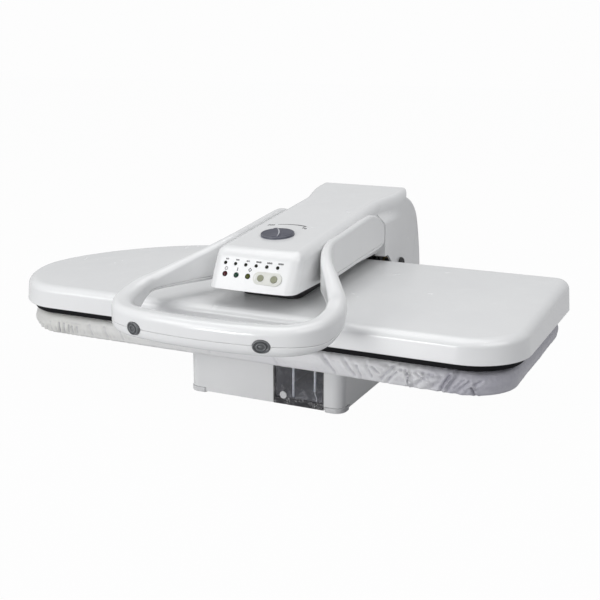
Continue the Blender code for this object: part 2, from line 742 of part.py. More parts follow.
def make_base(foot_cutter):
    outline = round_rectangle(-BASE_HALF_WIDTH, BASE_HALF_WIDTH, -BASE_FRONT, BASE_REAR, BASE_CORNER)
    rings = [[(x, y, z) for x, y in outline] for z in (BASE_SKIRT_Z, base_top)]
    housing = loft("base_housing", rings, "white_plastic", cap_start=False)
    mod = housing.modifiers.new("wall", "SOLIDIFY")
    mod.thickness = PLASTIC_WALL
    mod.offset = -1
    mod.use_even_offset = True
    cut(housing, foot_cutter)
    window = box("tank_window_cutter", (TANK_LEFT, -BASE_FRONT - CUT_OVER, BASE_SKIRT_Z - CUT_OVER),
                 (TANK_RIGHT, -BASE_FRONT + PLASTIC_WALL + CUT_OVER,
                  base_top - PLASTIC_WALL - GAP), None, cutters)
    cut(housing, window)
    sleeve_half = COLUMN_HALF_WIDTH + GAP + CUT_OVER
    hole = box("column_hole_cutter", (-sleeve_half, HINGE_Y - COLUMN_AHEAD - CUT_OVER,
                                      base_top - 2 * PLASTIC_WALL),
               (sleeve_half, HINGE_Y + COLUMN_BEHIND + GAP, base_top + CUT_OVER), None, cutters)
    cut(housing, hole)
    gland = rods("gland_hole_cutter", [((GLAND_X, BASE_REAR - 2 * CUT_OVER, GLAND_Z),
                                        (GLAND_X, BASE_REAR + CUT_OVER, GLAND_Z))],
                 GLAND_RADIUS - PLASTIC_WALL + GAP, None, home=cutters)
    cut(housing, gland)
    # sloping relief in the rear edge, where the foot of the arm's rear cover swings down when the arm is open
    relief = profile_solid("rear_relief_cutter",
                           [(BASE_REAR - REAR_RELIEF - CUT_OVER, base_top + CUT_OVER),
                            (BASE_REAR + CUT_OVER, base_top - REAR_RELIEF - CUT_OVER),
                            (BASE_REAR + CUT_OVER, base_top + CUT_OVER)],
                           ARM_REAR_HALF_WIDTH + REAR_RELIEF, None, cutters)
    cut(housing, relief)
    inner = PLASTIC_WALL + GAP
    floor_outline = round_rectangle(-BASE_HALF_WIDTH + inner, BASE_HALF_WIDTH - inner,
                                    -BASE_FRONT + TANK_FACE + 2 * GAP, BASE_REAR - inner,
                                    BASE_CORNER - inner)
    plan_plate("base_floor", [floor_outline], floor_low, floor_top, "steel_zinc")


def make_tank():
    left = TANK_LEFT + GAP
    right = TANK_RIGHT - GAP
    front = -BASE_FRONT
    low = floor_top + GAP
    high = base_top - PLASTIC_WALL - TANK_TOP_GAP
    tank = box("water_tank", (left, front, BASE_SKIRT_Z),
               (right, front + TANK_FACE, base_top - PLASTIC_WALL - 2 * GAP),
               "smoke_plastic")
    body = box("tank_body_cutter", (left, front + TANK_FACE / 2, low),
               (right, front + TANK_DEPTH, high), None, cutters)
    cut(tank, body, "UNION")
    room = box("tank_room_cutter", (left + TANK_WALL, front + TANK_FACE, low + TANK_WALL),
               (right - TANK_WALL, front + TANK_DEPTH - TANK_WALL, high + CUT_OVER), None, cutters)
    cut(tank, room)
    plug_x = TANK_LEFT + TANK_PLUG_IN
    plug_z = BASE_SKIRT_Z + TANK_PLUG_UP
    bore = rods("plug_bore_cutter", [((plug_x, front - CUT_OVER, plug_z),
                                      (plug_x, front + 2 * TANK_FACE, plug_z))],
                TANK_PLUG_RADIUS / 2 + GAP, None, home=cutters)
    cut(tank, bore)
    place = Matrix.Translation((plug_x, front, plug_z)) @ Matrix.Rotation(pi / 2, 4, "X")
    turned("tank_plug", [(0, TANK_PLUG_RISE), (TANK_PLUG_RADIUS, TANK_PLUG_RISE), (TANK_PLUG_RADIUS, GAP),
                         (TANK_PLUG_RADIUS / 2, GAP), (TANK_PLUG_RADIUS / 2, -TANK_FACE), (0, -TANK_FACE)],
           "tube_plastic", place, SMALL_SIDES)
    width = right - left
    floor_z = low + TANK_WALL + GAP
    tube_y = front + TUBE_SET_BACK
    first_x = left + width * TUBE_FIRST_SHARE
    second_x = left + width * TUBE_SECOND_SHARE
    short_low = high - (high - floor_z) * TUBE_SHORT_SHARE
    head_z = high - 2 * TUBE_RADIUS
    tubes = rods("tank_tubes", [((first_x, tube_y, floor_z), (first_x, tube_y, high))], TUBE_RADIUS,
                 "tube_plastic", SMALL_SIDES)
    short_run = ((second_x, tube_y, short_low), (second_x, tube_y, high))
    head_run = ((first_x, tube_y, head_z), (second_x, tube_y, head_z))
    for run, part_name in ((short_run, "short"), (head_run, "head")):
        joined = rods("tube_" + part_name + "_cutter", [run], TUBE_RADIUS, None, SMALL_SIDES, cutters)
        cut(tubes, joined, "UNION")


def make_pump():
    front = -BASE_FRONT + TANK_DEPTH + 2 * CUT_OVER
    rise = floor_top + GAP
    pump = rods("water_pump", [((PUMP_AXIS_X, front, rise + PUMP_RADIUS),
                                (PUMP_AXIS_X, front + PUMP_LENGTH, rise + PUMP_RADIUS))],
                PUMP_RADIUS, "brass_metal")
    foot = box("pump_foot_cutter", (PUMP_AXIS_X - PUMP_RADIUS, front + PUMP_LENGTH / 4, rise),
               (PUMP_AXIS_X + PUMP_RADIUS, front + PUMP_LENGTH * 3 / 4,
                rise + PUMP_RADIUS / 2), None, cutters)
    cut(pump, foot, "UNION")
    place = Matrix.Translation((GLAND_X, BASE_REAR, GLAND_Z)) @ Matrix.Rotation(-pi / 2, 4, "X")
    bore = GLAND_RADIUS / 3
    neck = GLAND_RADIUS - PLASTIC_WALL
    collar = PLASTIC_WALL
    profile = [(bore, GLAND_LENGTH), (neck - BUSH_WALL / 2, GLAND_LENGTH), (neck, collar),
               (GLAND_RADIUS, collar), (GLAND_RADIUS, GAP), (neck, GAP), (neck, -PLASTIC_WALL - GAP),
               (GLAND_RADIUS, -PLASTIC_WALL - GAP), (GLAND_RADIUS, -PLASTIC_WALL - collar),
               (bore, -PLASTIC_WALL - collar), (bore, GLAND_LENGTH)]
    turned("cord_gland", profile, "black_rubber", place, SMALL_SIDES)


def make_column():
    rear = HINGE_Y + COLUMN_BEHIND
    ahead = HINGE_Y - COLUMN_AHEAD
    low = floor_top + GAP
    cheek = [(ahead, low), (rear, low), (rear, HINGE_Z)]
    cheek += arc(HINGE_Y, HINGE_Z, COLUMN_BEHIND, pi / 6, pi * 5 / 6, 6)
    cheek += [(LINK_FOOT_Y - COLUMN_BEHIND, LINK_FOOT_Z + COLUMN_BEHIND),
              (ahead, LINK_FOOT_Z - COLUMN_BEHIND)]
    column = side_plate("hinge_column", [cheek], COLUMN_HALF_WIDTH - COLUMN_CHEEK, COLUMN_HALF_WIDTH,
                        "steel_zinc")
    other = side_plate("column_left_cutter", [cheek], -COLUMN_HALF_WIDTH,
                       -COLUMN_HALF_WIDTH + COLUMN_CHEEK, None, cutters)
    cut(column, other, "UNION")
    back = box("column_back_cutter", (-COLUMN_HALF_WIDTH + COLUMN_CHEEK / 2, rear - COLUMN_CHEEK,
                                      low + COLUMN_CHEEK / 2),
               (COLUMN_HALF_WIDTH - COLUMN_CHEEK / 2, rear - COLUMN_CHEEK / 4,
                HINGE_Z - COLUMN_BACK_DROP), None, cutters)
    cut(column, back, "UNION")
    foot = box("column_foot_cutter", (-COLUMN_FOOT_HALF_WIDTH, HINGE_Y - COLUMN_FOOT_AHEAD, low),
               (COLUMN_FOOT_HALF_WIDTH - CUT_OVER, rear + COLUMN_CHEEK / 2,
                low + COLUMN_CHEEK), None, cutters)
    cut(column, foot, "UNION")
    cut(column, hinge_cutter())
    reach = COLUMN_HALF_WIDTH + CUT_OVER
    pin_bore = rods("link_pin_bore_cutter", [((-reach, *link_pin_spot), (reach, *link_pin_spot))],
                    LINK_PIN_RADIUS + GAP, None, home=cutters)
    cut(column, pin_bore)
    half = COLUMN_HALF_WIDTH + RUN_GAP
    rods("link_pin", [((-half, *link_pin_spot), (half, *link_pin_spot))], LINK_PIN_RADIUS,
         "spring_steel", SMALL_SIDES)
    pin_half = ARM_REAR_HALF_WIDTH
    rods("hinge_pin", [((-pin_half, HINGE_Y, HINGE_Z), (pin_half, HINGE_Y, HINGE_Z))], HINGE_PIN_RADIUS,
         "spring_steel")
    side = COLUMN_HALF_WIDTH + SLEEVE_SIDE_GAP
    outer = round_rectangle(-side, side, ahead - SLEEVE_SIDE_GAP, rear + SLEEVE_WALL + GAP, SLEEVE_SIDE_GAP)
    inner = round_rectangle(-side + SLEEVE_WALL, side - SLEEVE_WALL, ahead - SLEEVE_SIDE_GAP + SLEEVE_WALL,
                            rear + GAP, SLEEVE_SIDE_GAP - SLEEVE_WALL)
    plan_plate("column_sleeve", [outer, inner], base_top + GAP, base_top + GAP + SLEEVE_HEIGHT,
               "grey_plastic")


def make_springs():
    length = SPRING_TURNS * SPRING_PITCH
    near = COLUMN_HALF_WIDTH - COLUMN_CHEEK - SPRING_WIRE_RADIUS - GAP - length
    points = []
    for k in range(SPRING_TURNS * SPRING_TURN_POINTS + 1):
        turn = 2 * pi * k / SPRING_TURN_POINTS - pi / 2
        points.append((near + SPRING_PITCH * k / SPRING_TURN_POINTS,
                       HINGE_Y + SPRING_MEAN_RADIUS * cos(turn),
                       HINGE_Z + SPRING_MEAN_RADIUS * sin(turn)))
    least = least_self_gap(points, SPRING_WIRE_RADIUS, SPRING_TURN_POINTS // 2)
    print("least spring gap %.5f m" % least)
    for side, hand in ((-1, "left"), (1, "right")):
        route = [(side * x, y, z) for x, y, z in points]
        first = route[0]
        route.insert(0, (first[0], first[1] - SPRING_LEG, first[2]))
        data = bpy.data.curves.new("counterbalance_spring_" + hand, "CURVE")
        data.dimensions = "3D"
        data.bevel_depth = SPRING_WIRE_RADIUS
        data.bevel_resolution = 1
        data.use_fill_caps = True
        spline = data.splines.new("POLY")
        spline.points.add(len(route) - 1)
        for point, spot in zip(spline.points, route):
            point.co = (*spot, 1)
        obj = bpy.data.objects.new("counterbalance_spring_" + hand, data)
        parts.objects.link(obj)
        mesh_from_curve("counterbalance_spring_" + hand, obj, "spring_steel")


def least_self_gap(points, radius, apart):
    least = 1.0
    for i, a in enumerate(points):
        for b in points[i + apart:]:
            least = min(least, (Vector(a) - Vector(b)).length - 2 * radius)
    return least


def profile_solid(name, profile, half, finish, home, bow=0.0):
    obj = side_plate(name, [profile], -half, half, finish, home)
    if bow:
        bm = bmesh.new()
        bm.from_mesh(obj.data)
        bm.transform(obj.matrix_world)
        for share in (-0.6, -0.2, 0.2, 0.6):
            geometry = bm.verts[:] + bm.edges[:] + bm.faces[:]
            bmesh.ops.bisect_plane(bm, geom=geometry, plane_co=(half * share, 0, 0), plane_no=(1, 0, 0))
        for vert in bm.verts:
            if vert.co.y < -ARM_HEAD_TOP + ARM_BOW:
                vert.co.y -= bow * (1 - (vert.co.x / half) ** 2)
        bm.to_mesh(obj.data)
        bm.free()
        obj.matrix_world = Matrix.Identity(4)
    return obj


def arm_profile(inset, over):
    # narrow front part, from the head's foot round to the wide part
    lean_in = inset / cos(face_lean)
    end = ARM_WIDE_START + 2 * ARM_WIDE_EDGE_ROUND
    return [(-ARM_HEAD_FOOT + lean_in - over * sin(face_lean) / cos(face_lean), ARM_BOTTOM_Z - over),
            (end, ARM_BOTTOM_Z - over), (end, arm_top(end) - inset),
            (-ARM_HEAD_TOP + lean_in, arm_top(-ARM_HEAD_TOP) - inset)]


def sunk_curve(start, start_pull, end_pull, end, inset, steps):
    # a curve drawn in by inset at both its ends, to the right of its run
    first = Vector((start_pull[1], -start_pull[0])).normalized() * inset
    last = Vector((-end_pull[1], end_pull[0])).normalized() * inset
    begin = (start[0] + first.x, start[1] + first.y)
    finish = (end[0] + last.x, end[1] + last.y)
    near = (begin[0] + start_pull[0], begin[1] + start_pull[1])
    far = (finish[0] + end_pull[0], finish[1] + end_pull[1])
    return [begin] + cubic(begin, near, far, finish, steps)


def arm_wide_profile(inset, over):
    # the broad rear part: its heel curves down from the notch to the split with the rear cover
    curve = sunk_curve((ARM_NOTCH_Y, ARM_NOTCH_Z), HEEL_START_PULL, HEEL_END_PULL,
                       (ARM_SPLIT_TOP_Y, ARM_SPLIT_TOP_Z), inset, HEEL_STEPS)
    way_out = [(curve[-1][0] + over, curve[-1][1])] if over else []
    return [(ARM_WIDE_START + inset, ARM_SHOULDER_Z - over), (ARM_SHOULDER_Y, ARM_SHOULDER_Z - over),
            (ARM_REAR_FOOT_Y, ARM_REAR_FOOT_Z - over), (ARM_SPLIT_FOOT_Y + over, ARM_REAR_FOOT_Z - over)] \
        + way_out + curve[::-1] + [(ARM_TOP_END - inset, arm_top(ARM_TOP_END) - inset),
                                   (ARM_WIDE_START + inset, arm_top(ARM_WIDE_START) - inset)]


def split_y(z):
    share = (z - ARM_REAR_FOOT_Z) / (ARM_SPLIT_TOP_Z - ARM_REAR_FOOT_Z)
    return ARM_SPLIT_FOOT_Y + share * (ARM_SPLIT_TOP_Y - ARM_SPLIT_FOOT_Y)


def rear_cover_profile(inset, over):
    curve = sunk_curve((ARM_SPLIT_TOP_Y + GAP, ARM_SPLIT_TOP_Z), REAR_START_PULL, REAR_END_PULL,
                       (REAR_COVER_BACK, REAR_COVER_BACK_Z), inset, HEEL_STEPS)
    way_out = [(curve[0][0] - over, curve[0][1])] if over else []
    return [(ARM_SPLIT_FOOT_Y + GAP - over, ARM_REAR_FOOT_Z - over),
            (curve[-1][0], ARM_REAR_FOOT_Z - over)] + curve[::-1] + way_out


def make_arm_covers():
    def above_rim(middle, direction):
        return middle.z > ARM_BOTTOM_Z + GAP

    def wide_share(round_share):
        def share(middle, direction):
            if abs(direction.y) < abs(direction.x) or middle.z < ARM_SPLIT_TOP_Z:
                return 0
            return 1 if middle.z > ARM_NOTCH_Z else round_share
        return share

    def behind_split(middle, direction):
        return middle.y > split_y(middle.z) + 2 * GAP and abs(direction.x) < abs(direction.z)

    narrow_room = ARM_HALF_WIDTH - PLASTIC_WALL
    wide_room = ARM_REAR_HALF_WIDTH - PLASTIC_WALL
    cover = profile_solid("arm_cover", arm_profile(0, 0), ARM_HALF_WIDTH, "white_plastic", None, ARM_BOW)
    round_chosen(cover, ARM_EDGE_ROUND, 3, above_rim)
    wide = profile_solid("arm_wide_cutter", arm_wide_profile(0, 0), ARM_REAR_HALF_WIDTH, None, cutters)
    round_chosen(wide, ARM_WIDE_EDGE_ROUND, 3, wide_share(HEEL_ROUND / ARM_WIDE_EDGE_ROUND))
    cut(cover, wide, "UNION")
    room = profile_solid("arm_room_cutter", arm_profile(PLASTIC_WALL, CUT_OVER), narrow_room, None,
                         cutters, ARM_BOW)
    round_chosen(room, ARM_EDGE_ROUND - PLASTIC_WALL, 3, above_rim)
    cut(cover, room)
    hollow = profile_solid("arm_wide_room_cutter", arm_wide_profile(PLASTIC_WALL, CUT_OVER), wide_room,
                           None, cutters)
    hollow_round = ARM_WIDE_EDGE_ROUND - PLASTIC_WALL
    round_chosen(hollow, hollow_round, 3, wide_share((HEEL_ROUND - PLASTIC_WALL) / hollow_round))
    cut(cover, hollow)
    cut(cover, hinge_cutter())
    cut(cover, handle_pin_cutter())
    cut(cover, lens_cutter())
    cut(cover, shaft_cutter())
    rear = profile_solid("arm_rear_cover", rear_cover_profile(0, 0), ARM_REAR_HALF_WIDTH,
                         "white_plastic", None)
    round_chosen(rear, HEEL_ROUND, 3, behind_split)
    hollow = profile_solid("rear_room_cutter", rear_cover_profile(PLASTIC_WALL, CUT_OVER), wide_room,
                           None, cutters)
    round_chosen(hollow, HEEL_ROUND - PLASTIC_WALL, 3, behind_split)
    cut(rear, hollow)


def make_arm_frame():
    top_line = PLASTIC_WALL + GAP
    rear = HINGE_Y + FRAME_PIVOT_ROOM
    front = -FRAME_FRONT
    outline = [(front, FRAME_LOW_Z), (FRAME_NECK_Y, FRAME_LOW_Z)]
    outline += arc(HINGE_Y, HINGE_Z, FRAME_PIVOT_ROOM, -pi * FRAME_BOSS_SHARE, 0, CORNER_STEPS)
    outline += [(rear, arm_top(rear) - top_line), (front, arm_top(front) - top_line)]
    frame = side_plate("arm_frame", [outline], -frame_half, frame_half, "steel_zinc")
    inner_half = frame_half - FRAME_PLATE
    low = HINGE_Z - 2 * FRAME_PIVOT_ROOM
    front -= CUT_OVER
    rear += CUT_OVER
    room = [(front, low), (rear, low), (rear, arm_top(rear) - top_line - FRAME_PLATE),
            (front, arm_top(front) - top_line - FRAME_PLATE)]
    cut(frame, side_plate("frame_room_cutter", [room], -inner_half, inner_half, None, cutters))
    reach = frame_half + CUT_OVER
    cut(frame, rods("bush_bore_cutter", [((-reach, HINGE_Y, HINGE_Z), (reach, HINGE_Y, HINGE_Z))],
                    bush_radius + GAP, None, home=cutters))
    cut(frame, handle_pin_cutter())
    cut(frame, shaft_cutter())
    outer = bush_radius
    flange = bush_radius + BUSH_WALL
    inner_end = -FRAME_PLATE - BUSH_FLANGE
    cap_round = CAP_RADIUS - BUSH_WALL
    for side, hand in ((-1, "left"), (1, "right")):
        turn = Matrix.Rotation(side * pi / 2, 4, "Y")
        place = Matrix.Translation((side * (frame_half + GAP), HINGE_Y, HINGE_Z)) @ turn
        sleeve = [(hinge_bore, BUSH_FLANGE), (flange, BUSH_FLANGE), (flange, 0), (outer, 0),
                  (outer, inner_end), (hinge_bore, inner_end), (hinge_bore, BUSH_FLANGE)]
        turned("hinge_bush_" + hand, sleeve, "brass_metal", place)
        cap_place = Matrix.Translation((side * (ARM_REAR_HALF_WIDTH + GAP), HINGE_Y, HINGE_Z)) @ turn
        turned("pivot_cap_" + hand, [(0, CAP_HEIGHT), (cap_round, CAP_HEIGHT),
                                     (CAP_RADIUS, CAP_HEIGHT - BUSH_WALL),
                                     (CAP_RADIUS, 0), (0, 0)], "black_rubber", cap_place)


def make_under_cover():
    inner = ARM_HALF_WIDTH - PLASTIC_WALL - GAP
    low = ARM_BOTTOM_Z + UNDER_COVER_RECESS
    face_wall = PLASTIC_WALL / cos(face_lean)
    front = -ARM_HEAD_FOOT + face_wall + PLASTIC_WALL + UNDER_COVER_RECESS + GAP
    plate = plan_plate("arm_under_cover", [round_rectangle(-inner, inner, front, UNDER_COVER_END,
                                                           ARM_EDGE_ROUND)],
                       low, low + PLASTIC_WALL, "white_plastic")
    cut(plate, post_cutter())


def face_place(x, up, sunk=0.0):
    # a place on the head's sloping face: local Z points out of the face
    bow = ARM_BOW * (1 - (x / ARM_HALF_WIDTH) ** 2)
    y = -ARM_HEAD_FOOT + up * sin(face_lean) - bow
    z = ARM_BOTTOM_Z + up * cos(face_lean)
    turn = Matrix.Rotation(pi / 2 - face_lean, 4, "X")
    return Matrix.Translation((x, y, z)) @ turn @ Matrix.Translation((0, 0, -sunk))


def lens_places():
    small = [face_place(-SMALL_LENS_FIRST_X + k * SMALL_LENS_PITCH,
                        SMALL_LENS_UP) for k in range(SMALL_LENS_COUNT)]
    big = [face_place(-BIG_LENS_FIRST_X + k * BIG_LENS_PITCH, BIG_LENS_UP) for k in range(BIG_LENS_COUNT)]
    return small, big


def face_rods(name, places, radius, low, high, finish, home=None):
    bm = bmesh.new()
    for place in places:
        start = place @ Vector((0, 0, low))
        end = place @ Vector((0, 0, high))
        cylinder_into(bm, start, end, radius, SMALL_SIDES)
    return from_bmesh(name, bm, finish, home)


def bezel_outline(extra):
    half = BEZEL_HALF_LENGTH - BEZEL_HALF_HEIGHT
    return stadium((-half, 0), (half, 0), BEZEL_HALF_HEIGHT + extra)


def lens_cutter():
    small, big = lens_places()
    bm = bmesh.new()
    for places, radius in ((small, SMALL_LENS_RADIUS), (big, BIG_LENS_RADIUS)):
        for place in places:
            cylinder_into(bm, place @ Vector((0, 0, -2 * LENS_DEPTH)), place @ Vector((0, 0, LENS_DEPTH)),
                          radius + GAP, SMALL_SIDES)
    return from_bmesh("lens_hole_cutter", bm, None, cutters)


def make_panel():
    small, big = lens_places()
    pin_depth = LENS_DEPTH + ARM_BOW
    strip = face_rods("indicator_light_strip", small[:1], SMALL_LENS_RADIUS, -pin_depth, LENS_PROUD,
                      "lens_dark")
    for k, place in enumerate(small[1:]):
        cut(strip, face_rods("strip_pin_cutter_%d" % k, [place], SMALL_LENS_RADIUS, -pin_depth,
                             LENS_PROUD, None, cutters), "UNION")
    back = face_place((SMALL_LENS_COUNT - 1) * SMALL_LENS_PITCH / 2 - SMALL_LENS_FIRST_X, SMALL_LENS_UP,
                      pin_depth)
    half = (SMALL_LENS_COUNT - 1) * SMALL_LENS_PITCH / 2 + SMALL_LENS_RADIUS
    bar = box("strip_bar_cutter", (-half, -SMALL_LENS_RADIUS, -SMALL_LENS_RADIUS),
              (half, SMALL_LENS_RADIUS, SMALL_LENS_RADIUS), None, cutters)
    bar.matrix_world = back
    cut(strip, bar, "UNION")
    for place, name in zip(big, ("red", "green", "yellow")):
        face_rods("indicator_lens_" + name, [place], BIG_LENS_RADIUS, -LENS_DEPTH, LENS_PROUD,
                  "lens_" + name)
    cover = bpy.data.objects["arm_cover"]
    place = face_place(BEZEL_X, BEZEL_UP)
    hole = flat_curve("bezel_hole", [bezel_outline(GAP)], 4 * BEZEL_DEPTH)
    hole.matrix_world = place
    cut(cover, mesh_from_curve("bezel_hole_cutter", hole, None, cutters))
    pads = [(-PAD_PITCH / 2, 0), (PAD_PITCH / 2, 0)]
    bezel_low = -BEZEL_DEPTH
    bezel_mid = (BEZEL_PROUD + bezel_low) / 2
    holes = [circle(u, v, PAD_RADIUS + GAP, SMALL_SIDES) for u, v in pads]
    bezel = flat_curve("button_bezel", [bezel_outline(0)] + holes, BEZEL_PROUD - bezel_low)
    bezel.matrix_world = place @ Matrix.Translation((0, 0, bezel_mid))
    mesh_from_curve("button_bezel", bezel, "bezel_plastic")
    for (u, v), hand in zip(pads, ("left", "right")):
        spot = place @ Matrix.Translation((u, v, 0))
        turned("panel_button_" + hand, [(0, PAD_PROUD), (PAD_RADIUS * PAD_FLAT_SHARE, PAD_PROUD),
                                        (PAD_RADIUS, PAD_PROUD / 2),
                                        (PAD_RADIUS, PAD_PROUD - PAD_LENGTH), (0, PAD_PROUD - PAD_LENGTH)],
               "pad_rubber", spot, SMALL_SIDES)
    half = ARM_HALF_WIDTH - PLASTIC_WALL - GAP
    centre = face_place(0, PCB_UP + PCB_HEIGHT / 2, BOARD_BACK_SET + ARM_BOW)
    board = box("control_board", (-half, -PCB_HEIGHT / 2, -PCB_THICKNESS / 2),
                (half, PCB_HEIGHT / 2, PCB_THICKNESS / 2), "circuit_green")
    board.matrix_world = centre


def dial_place():
    y = -DIAL_Y
    lean = atan2(ARM_TOP_SLOPE_SHARE, 1)
    return Matrix.Translation((DIAL_X, y, arm_top(y))) @ Matrix.Rotation(lean, 4, "X")


def shaft_cutter():
    place = dial_place()
    run = (place @ Vector((0, 0, -web_under - CUT_OVER)), place @ Vector((0, 0, CUT_OVER)))
    return rods("shaft_bore_cutter", [run], SHAFT_RADIUS + GAP, None, SMALL_SIDES, cutters)


def make_dial():
    place = dial_place()
    flat = DIAL_RADIUS - DIAL_EDGE
    rounding = DIAL_EDGE * EDGE_SHARE
    dial = turned("temperature_dial", [(0, DIAL_HEIGHT), (flat, DIAL_HEIGHT),
                                       (DIAL_RADIUS - rounding, DIAL_HEIGHT - rounding),
                                       (DIAL_RADIUS, DIAL_HEIGHT - DIAL_EDGE), (DIAL_RADIUS, GAP), (0, GAP)],
                  "dial_plastic", place, DIAL_SIDES)
    half = DIAL_RIB_WIDTH / 2
    rib = box("dial_rib_cutter", (-half, -flat, DIAL_HEIGHT / 2),
              (half, flat, DIAL_HEIGHT + DIAL_RIB_HEIGHT), None, cutters)
    rib.matrix_world = place
    bevel(rib, rounding, 1)
    cut(dial, rib, "UNION")
    rods("dial_shaft", [(place @ Vector((0, 0, -web_under)), place @ Vector((0, 0, 0)))], SHAFT_RADIUS,
         "spring_steel", SMALL_SIDES)
    top = -web_under - GAP
    rods("thermostat", [(place @ Vector((0, 0, top - THERMOSTAT_HEIGHT)), place @ Vector((0, 0, top)))],
         THERMOSTAT_RADIUS, "grey_plastic")


# Handle stations from the rear end of a side plate to the middle of the front. Shares of:
# plate place, half width; rear end, reach; top rise, underside rise; grip thickness, seam height.
HANDLE_SHARES = [
    (1.000, 0.000, 1.000, 0.000, 0.720, 0.548, 0.00, 0.22),
    (1.000, 0.000, 0.963, 0.000, 0.815, 0.489, 0.00, 0.16),
    (1.000, 0.000, 0.861, 0.000, 0.912, 0.462, 0.00, 0.13),
    (1.000, 0.000, 0.734, 0.000, 0.966, 0.452, 0.00, 0.12),
    (1.000, 0.000, 0.562, 0.000, 0.976, 0.440, 0.00, 0.12),
    (1.000, 0.000, 0.000, 0.000, 0.904, 0.396, 0.00, 0.12),
    (1.000, 0.004, 0.000, 0.182, 0.858, 0.360, 0.05, 0.13),
    (0.803, 0.197, 0.000, 0.324, 0.766, 0.335, 0.25, 0.13),
    (0.457, 0.543, 0.000, 0.458, 0.635, 0.325, 0.50, 0.14),
    (0.158, 0.842, 0.000, 0.579, 0.523, 0.315, 0.75, 0.15),
    (0.047, 0.953, 0.000, 0.648, 0.482, 0.287, 0.85, 0.15),
    (0.000, 1.000, 0.000, 0.729, 0.426, 0.165, 0.95, 0.17),
    (0.000, 0.961, 0.000, 0.842, 0.371, 0.046, 1.00, 0.25),
    (0.000, 0.798, 0.000, 0.939, 0.340, 0.005, 1.00, 0.37),
    (0.000, 0.465, 0.000, 0.984, 0.335, 0.000, 1.00, 0.39),
    (0.000, 0.000, 0.000, 1.000, 0.335, 0.000, 1.00, 0.39),
]


def handle_station(row):
    x = row[0] * HANDLE_PLATE_X + row[1] * HANDLE_HALF_WIDTH
    y = row[2] * HANDLE_REAR - row[3] * HANDLE_REACH
    top = HANDLE_LOW_Z + row[4] * HANDLE_RISE
    low = HANDLE_LOW_Z + row[5] * HANDLE_RISE
    thick = HANDLE_PLATE_THICKNESS + row[6] * (HANDLE_GRIP_THICKNESS - HANDLE_PLATE_THICKNESS)
    return x, y, top, low, thick, row[7]


def smooth_through(rows, steps):
    # a smooth curve through the rows, with steps pieces between each two
    out = []
    for k in range(len(rows) - 1):
        before = rows[max(k - 1, 0)]
        after = rows[min(k + 2, len(rows) - 1)]
        a, b = rows[k], rows[k + 1]
        for n in range(steps):
            t = n / steps
            out.append(tuple(0.5 * (2 * q + (r - p) * t + (2 * p - 5 * q + 4 * r - s) * t * t
                                    + (3 * q - p - 3 * r + s) * t ** 3)
                             for p, q, r, s in zip(before, a, b, after)))
    out.append(rows[-1])
    return out


def handle_path():
    right = [handle_station(row) for row in HANDLE_SHARES]
    mirrored = [(-row[0],) + row[1:] for row in reversed(right[:-1])]
    return smooth_through(right + mirrored, HANDLE_STEPS)


def handle_section(thick, top, low, seam, wall, upper):
    # half of a rounded section: side offsets and heights from one seam edge to the other
    half = thick / 2 - wall
    seam_z = low + (top - low) * seam
    reach = (top - wall - seam_z) if upper else (seam_z - low - wall)
    corner = min(half * SECTION_HALF_SHARE, reach * SECTION_HIGH_SHARE)
    sign = 1 if upper else -1
    edge = top - wall if upper else low + wall
    centre_z = edge - sign * corner
    start = seam_z + sign * GAP / 2
    points = [(half, start)]
    turns = [pi / 2 * k / SECTION_STEPS for k in range(SECTION_STEPS + 1)]
    for turn in turns:
        points.append((half - corner + corner * cos(turn), centre_z + sign * corner * sin(turn)))
    for turn in turns:
        points.append((-half + corner - corner * sin(turn), centre_z + sign * corner * cos(turn)))
    points.append((-half, start))
    return points


def handle_shell(name, upper):
    path = handle_path()
    rings = []
    for k, (x, y, top, low, thick, seam) in enumerate(path):
        before = path[max(k - 1, 0)]
        after = path[min(k + 1, len(path) - 1)]
        along = Vector((after[0] - before[0], after[1] - before[1])).normalized()
        outward = Vector((-along.y, along.x))
        outer = handle_section(thick, top, low, seam, 0, upper)
        inner = handle_section(thick, top, low, seam, HANDLE_WALL, upper)
        section = outer + inner[::-1]
        rings.append([(x + outward.x * u, y + outward.y * u, z) for u, z in section])
    return loft(name, rings, "white_plastic")


def handle_pin_cutter():
    reach = HANDLE_PLATE_X
    return rods("handle_pin_bore_cutter", [((-reach, HANDLE_PIVOT_Y, HANDLE_PIVOT_Z),
                                            (reach, HANDLE_PIVOT_Y, HANDLE_PIVOT_Z))],
                HANDLE_PIN_RADIUS + GAP, None, home=cutters)


def steam_row(side):
    return min(handle_path(), key=lambda row: abs(row[0] - side * STEAM_X) + abs(row[1] + HANDLE_REACH))


def steam_place(side):
    # on the outer front face of the grip, local Z points out
    nearest = steam_row(side)
    seam_z = nearest[3] + (nearest[2] - nearest[3]) * nearest[5]
    face_y = nearest[1] - HANDLE_GRIP_THICKNESS / 2
    turn = Matrix.Rotation(side * STEAM_TURN, 4, "Z") @ Matrix.Rotation(pi / 2, 4, "X")
    return Matrix.Translation((side * STEAM_X, face_y, seam_z)) @ turn


def ellipse(extra):
    turns = [2 * pi * k / ROUND_SIDES for k in range(ROUND_SIDES)]
    return [((STEAM_HALF_LENGTH + extra) * cos(a), (STEAM_HALF_HEIGHT + extra) * sin(a)) for a in turns]


